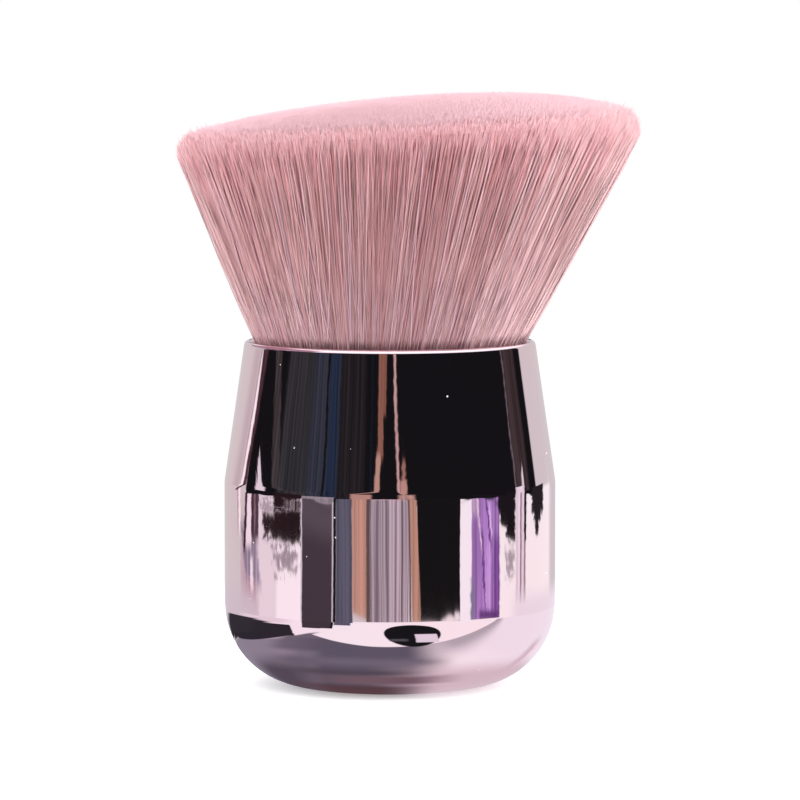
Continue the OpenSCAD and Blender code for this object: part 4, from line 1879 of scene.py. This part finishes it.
# Painted shadow: the shade and foot patches paint the brush's own shadow round its foot into this
# glowing table, with painted light on its right side and a painted glint.
TABLE = MirroredTable(
    "mirrored_table", (1.0, 0.955, 0.99),
    (
        Patch("far_left", (-200, -102), (-2.5, -1.60), (0.66, 0.60, 0.65), (8.0, 0.10), 0.1),
        Patch("right_table", (74, 200), (-2.5, 3.0), (0.74, 0.70, 0.76), (12.0, 0.05), 0.1),
        Patch("rear_left", (-200, -150), (-2.5, 3.0), (0.72, 0.69, 0.75), (12.0, 0.05), 0.1),
        Patch("shade_left", (-158, -34), (-1.37, 3.0), (0.275, 0.250, 0.315), (12.0, 0.05), 0.1),
        Patch("shade_corner", (-64, -18), (-1.52, -1.20), (0.16, 0.145, 0.19), (9.0, 0.04), 0.1),
        Patch("shade_front", (-44, 21), (-1.40, 3.0), (0.115, 0.107, 0.148), (14.0, 0.015), 0.1),
        Patch("shade_band", (-60, 20), (-1.12, -1.03), (0.165, 0.152, 0.20), (14.0, 0.05), 0.1),
        Patch("floor_far", (18, 200), (-30.0, 200.0), (0.92, 0.89, 0.97), (10.0, 4.0), 0.0, 0.0,
            square=True),
        Patch("floor_band", (12, 150), (-42.0, -23.5), (0.47, 0.445, 0.50), (7.0, 4.5), 0.0, 0.0,
            square=True),
        Patch("glint_shade", (60, 70), (-1.30, -0.75), (0.66, 0.56, 0.64), (5.0, 0.12), 0.1,
            lean=(-84.5, -0.853)),
        Patch("glint", (69, 73), (-1.30, -0.80), (0.99, 0.78, 0.88), (2.5, 0.10), 0.1,
            lean=(-84.5, -0.853)),
        # Painted light: the right side round the foot, where light reaches it.
        Patch("right_foot_light", (8, 130), (-0.98, 3.0), (0.68, 0.57, 0.63), (24.0, 0.13), 0.1),
        Patch("shade_deep", (-84, -38), (-1.02, 3.0), (0.095, 0.078, 0.105), (18.0, 0.14), 0.1),
        # Painted shadow round the foot: a darker ring, a pinker band and a brown middle.
        Patch("foot_shadow_ring", (-46, 10), (-0.965, -0.895), (0.090, 0.076, 0.100), (16.0, 0.045), 0.1),
        Patch("foot_shadow_pink", (-30, 24), (-0.885, -0.74), (0.175, 0.120, 0.145), (18.0, 0.035), 0.1),
        Patch("foot_shadow_brown", (-46, 12), (-0.70, 3.0), (0.100, 0.058, 0.068), (20.0, 0.06), 0.1),
        Patch("sheet", (-28.5, 200), (-200.0, -31.2), (1.0, 0.955, 0.99), (0.8, 0.35), 0.0, 0.0,
            square=True),
        Patch("sheet_left", (-200, -31.0), (-200.0, -24.0), (0.98, 0.93, 0.98),
            (1.0, 0.5), 0.0, 0.0, square=True),
        Patch("blush", (-112, -66), (-2.5, -1.74), (0.82, 0.73, 0.81), (8.0, 0.05), 0.1),
        Patch("mat_end", (-100, -57.2), (-1.70, -1.428), (0.026, 0.023, 0.031), (0.6, 0.006), 0.03,
            lean=(31.0, -1.56)),
        Patch("mat", (-53.4, -32.2), (-24.5, 12.0), (0.028, 0.025, 0.034), (0.35, 0.5), 0.0, 0.0,
            square=True),
        Patch("mat_side", (-126, -80), (-1.76, -1.36), (0.028, 0.025, 0.034), (6.0, 0.014), 0.0),
        Patch("mat_far", (-139, -92), (-1.81, -1.42), (0.034, 0.031, 0.041), (7.0, 0.014), 0.0),
        Patch("panel_foot", (-51.6, -40.0), (-2.3, -1.645), (0.055, 0.043, 0.055),
            (0.4, 0.004), 0.0, lean=(17.6, -1.65)),
        Patch("panel_foot_right", (-50.0, -33.9), (-2.3, -1.655), (0.055, 0.043, 0.055),
            (0.4, 0.004), 0.0, lean=(7.4, -1.65)),
        Patch("gap_foot", (-34.2, -32.4), (-2.3, -1.655), (0.012, 0.011, 0.013), (0.3, 0.004), 0.0,
            lean=(7.4, -1.65)),
        Patch("screen_foot", (-33.2, -23.4), (-2.3, -1.80), (0.108, 0.112, 0.155),
            (0.4, 0.004), 0.0, lean=(6.0, -1.80)),
        Patch("dish", (-3.5, 27.5), (-1.84, -1.285), (0.010, 0.010, 0.012),
            (0.1, 0.1), 0.0, 0.0, True),
        Patch("dish_sheen", (0.0, 9.0), (-1.42, -1.375), (0.085, 0.085, 0.10), (1.5, 0.010), 0.03),
        # Painted highlight on the dark dish.
        Patch("dish_highlight", (13.2, 24.8), (-1.52, -1.355), (0.78, 0.74, 0.84), (0.5, 0.008), 0.03),
    ),
    ragged_turn=10.0, ragged_rise=0.06, flute_stretch=(2.0, 0.3),
)


@dataclass(frozen=True)
class Lamp:
    """A round, soft lamp above the object, which mirrors don't show."""

    name: str
    spot: Triple
    size: float
    power: float


@dataclass
class Studio:
    """Floor, lamps, world, camera, and the surroundings that a mirror needs.

    Heights of the world's light are the sine of the angle above the horizon, and its light is the
    strength at the lower and the upper of them.
    """

    eye: Triple = (1.4 * MM, -640 * MM, 89.5 * MM)
    aim: Triple = (1.4 * MM, 0.0, 39.5 * MM)
    lens: float = 207.8
    sensor: float = 36.0
    clip: Range = (0.01, 20.0)
    floor_radius: float = 4.0
    floor_colour: Colour = (0.86, 0.86, 0.86)
    floor_lift: float = 0.34
    floor_far_light: float = 0.38
    floor_fade: Range = (0.04, 0.13)
    disc_sides: int = 96
    wall_distance: float = 900 * MM
    wall_steps: int = 180
    wall_levels: tuple[float, ...] = (-0.45, -0.085, -0.068, -0.05, 0.06, 2.6)
    table_radius: float = 95 * MM
    table_height: float = -0.05 * MM
    soft_heights: Range = (0.10, 0.85)
    soft_light: Range = (0.26, 2.10)
    mirrored_heights: Range = (0.20, 0.50)
    mirrored_light: Range = (0.72, 1.30)
    lamps: tuple[Lamp, ...] = (
        Lamp("key", (1.00, -0.40, 0.26), 0.80, 8.6),
        Lamp("fill", (-1.00, -0.40, 0.26), 0.60, 5.7),
        Lamp("right_rim", (0.90, 0.60, 0.25), 0.80, 10.0),
        Lamp("left_rim", (-0.90, 0.60, 0.25), 0.60, 4.8),
    )

    @staticmethod
    def shown_to(piece: Piece, rays: Rays) -> None:
        """Sets which rays see a piece of the studio.

        Args:
            piece: The floor, table or wall.
            rays: The rays that see it.
        """
        only_glossy = rays is Rays.GLOSSY
        piece.visible_camera = not only_glossy
        piece.visible_diffuse = not only_glossy
        piece.visible_transmission = not only_glossy
        piece.visible_shadow = not only_glossy
        piece.visible_glossy = only_glossy

    def aimed(self, name: str, data: bpy.types.ID, spot: Triple) -> Piece:
        """Puts a lamp or the camera in its place, turned to the object.

        Args:
            name: Its name.
            data: The lamp's or camera's data.
            spot: Its place.

        Returns:
            The new object.
        """
        item = bpy.data.objects.new(name, data)
        item.location = spot
        item.rotation_mode = "QUATERNION"
        item.rotation_quaternion = (Vector(self.aim) - Vector(spot)).to_track_quat("-Z", "Y")
        bpy.context.scene.collection.objects.link(item)
        return item

    def floor_material(self) -> Material:
        """The pale floor: it keeps the shadow near the object and fades to white further out."""
        material, nodes = bare_material("pale_floor")
        reach = nodes.length(nodes.add("TexCoord").outputs["Object"])
        path = nodes.add("LightPath").outputs
        seen = nodes.maths("MAXIMUM", path["Is Camera Ray"], path["Is Glossy Ray"])
        lit = nodes.add("BsdfDiffuse")
        lit.inputs["Color"].default_value = (*self.floor_colour, 1.0)
        near = nodes.add("AddShader")
        nodes.link(lit.outputs[0], near.inputs[0])
        lift = nodes.glow(WHITE, nodes.maths("MULTIPLY", seen, self.floor_lift))
        nodes.link(lift, near.inputs[1])
        far = nodes.glow(WHITE, nodes.spread(seen, (0.0, 1.0), (self.floor_far_light, 1.0)))
        top = nodes.between(nodes.spread(reach, self.floor_fade), near.outputs[0], far)
        clear = nodes.add("BsdfTransparent").outputs[0]
        nodes.surface(nodes.between(nodes.add("NewGeometry").outputs["Backfacing"], top, clear))
        return material

    def disc(self, name: str, radius: float, height: float) -> Piece:
        """A flat round sheet that faces up.

        Args:
            name: The piece's name.
            radius: Its radius.
            height: Its height.

        Returns:
            The object.
        """
        bm = bmesh.new()
        bmesh.ops.create_circle(bm, cap_ends=True, radius=radius, segments=self.disc_sides)
        bmesh.ops.translate(bm, verts=bm.verts, vec=(0.0, 0.0, height))
        return place(finished(bm, name))

    def build_floor(self) -> None:
        """The wide floor, and the small table that the mirror shows."""
        floor = self.disc("floor", self.floor_radius, 0.0)
        floor.data.materials.append(self.floor_material())
        self.shown_to(floor, Rays.ALL_BUT_GLOSSY)
        table = self.disc("mirrored_table", self.table_radius, self.table_height)
        table.data.materials.append(TABLE.build())
        self.shown_to(table, Rays.GLOSSY)

    def build_wall(self) -> None:
        """The round wall in bands, which only the mirror shows."""
        for number, band in enumerate(zip(self.wall_levels, self.wall_levels[1:])):
            bm = bmesh.new()
            ends = [bm.verts.new((0.0, self.wall_distance, level)) for level in band]
            spin_round(bm, [*ends, bm.edges.new(ends)], self.wall_steps)
            wall = place(finished(bm, f"mirrored_wall_{number + 1}"))
            wall.data.materials.append(WALL.build(band))
            self.shown_to(wall, Rays.GLOSSY)

    def build_lamps(self) -> None:
        """Soft lamps above the object."""
        for lamp in self.lamps:
            data = bpy.data.lights.new(lamp.name, "AREA")
            data.shape = "DISK"
            data.size = lamp.size
            data.energy = lamp.power
            self.aimed(lamp.name, data, lamp.spot).visible_glossy = False

    def build_world(self) -> None:
        """A white background, and a softer light from it."""
        world = bpy.data.worlds.new("studio_white")
        bpy.context.scene.world = world
        world.use_nodes = True
        nodes = Nodes(world.node_tree)
        back = nodes.tree.nodes["Background"]
        back.inputs["Color"].default_value = (*WHITE, 1.0)
        path = nodes.add("LightPath").outputs
        height = nodes.split("XYZ", nodes.add("TexCoord").outputs["Generated"])["Z"]
        soft = nodes.spread(height, self.soft_heights, self.soft_light)
        mirrored = nodes.spread(height, self.mirrored_heights, self.mirrored_light)
        more = nodes.maths("SUBTRACT", mirrored, soft)
        more = nodes.maths("MULTIPLY", path["Is Glossy Ray"], more)
        strength = nodes.maths("ADD", soft, more)
        seen = nodes.maths("MAXIMUM", path["Is Camera Ray"], path["Is Transmission Ray"])
        more = nodes.maths("MULTIPLY", seen, nodes.maths("SUBTRACT", 1.0, strength))
        nodes.link(nodes.maths("ADD", strength, more), back.inputs["Strength"])

    def build_camera(self) -> None:
        """The camera at the photograph's place."""
        data = bpy.data.cameras.new("camera")
        data.lens = self.lens
        data.sensor_width = self.sensor
        data.clip_start, data.clip_end = self.clip
        bpy.context.scene.camera = self.aimed("camera", data, self.eye)

    def build(self) -> None:
        """Sets up the studio."""
        self.build_camera()
        self.build_floor()
        self.build_wall()
        self.build_lamps()
        self.build_world()
        bpy.context.scene.view_settings.view_transform = "Standard"


def main() -> None:
    """Builds the brush and its studio."""
    logging.basicConfig(level=logging.INFO, format="%(name)s: %(message)s")
    Studio().build()
    Handle().build()
    InnerParts().build()
    BristleHead().build()


if __name__ == "__main__":
    main()
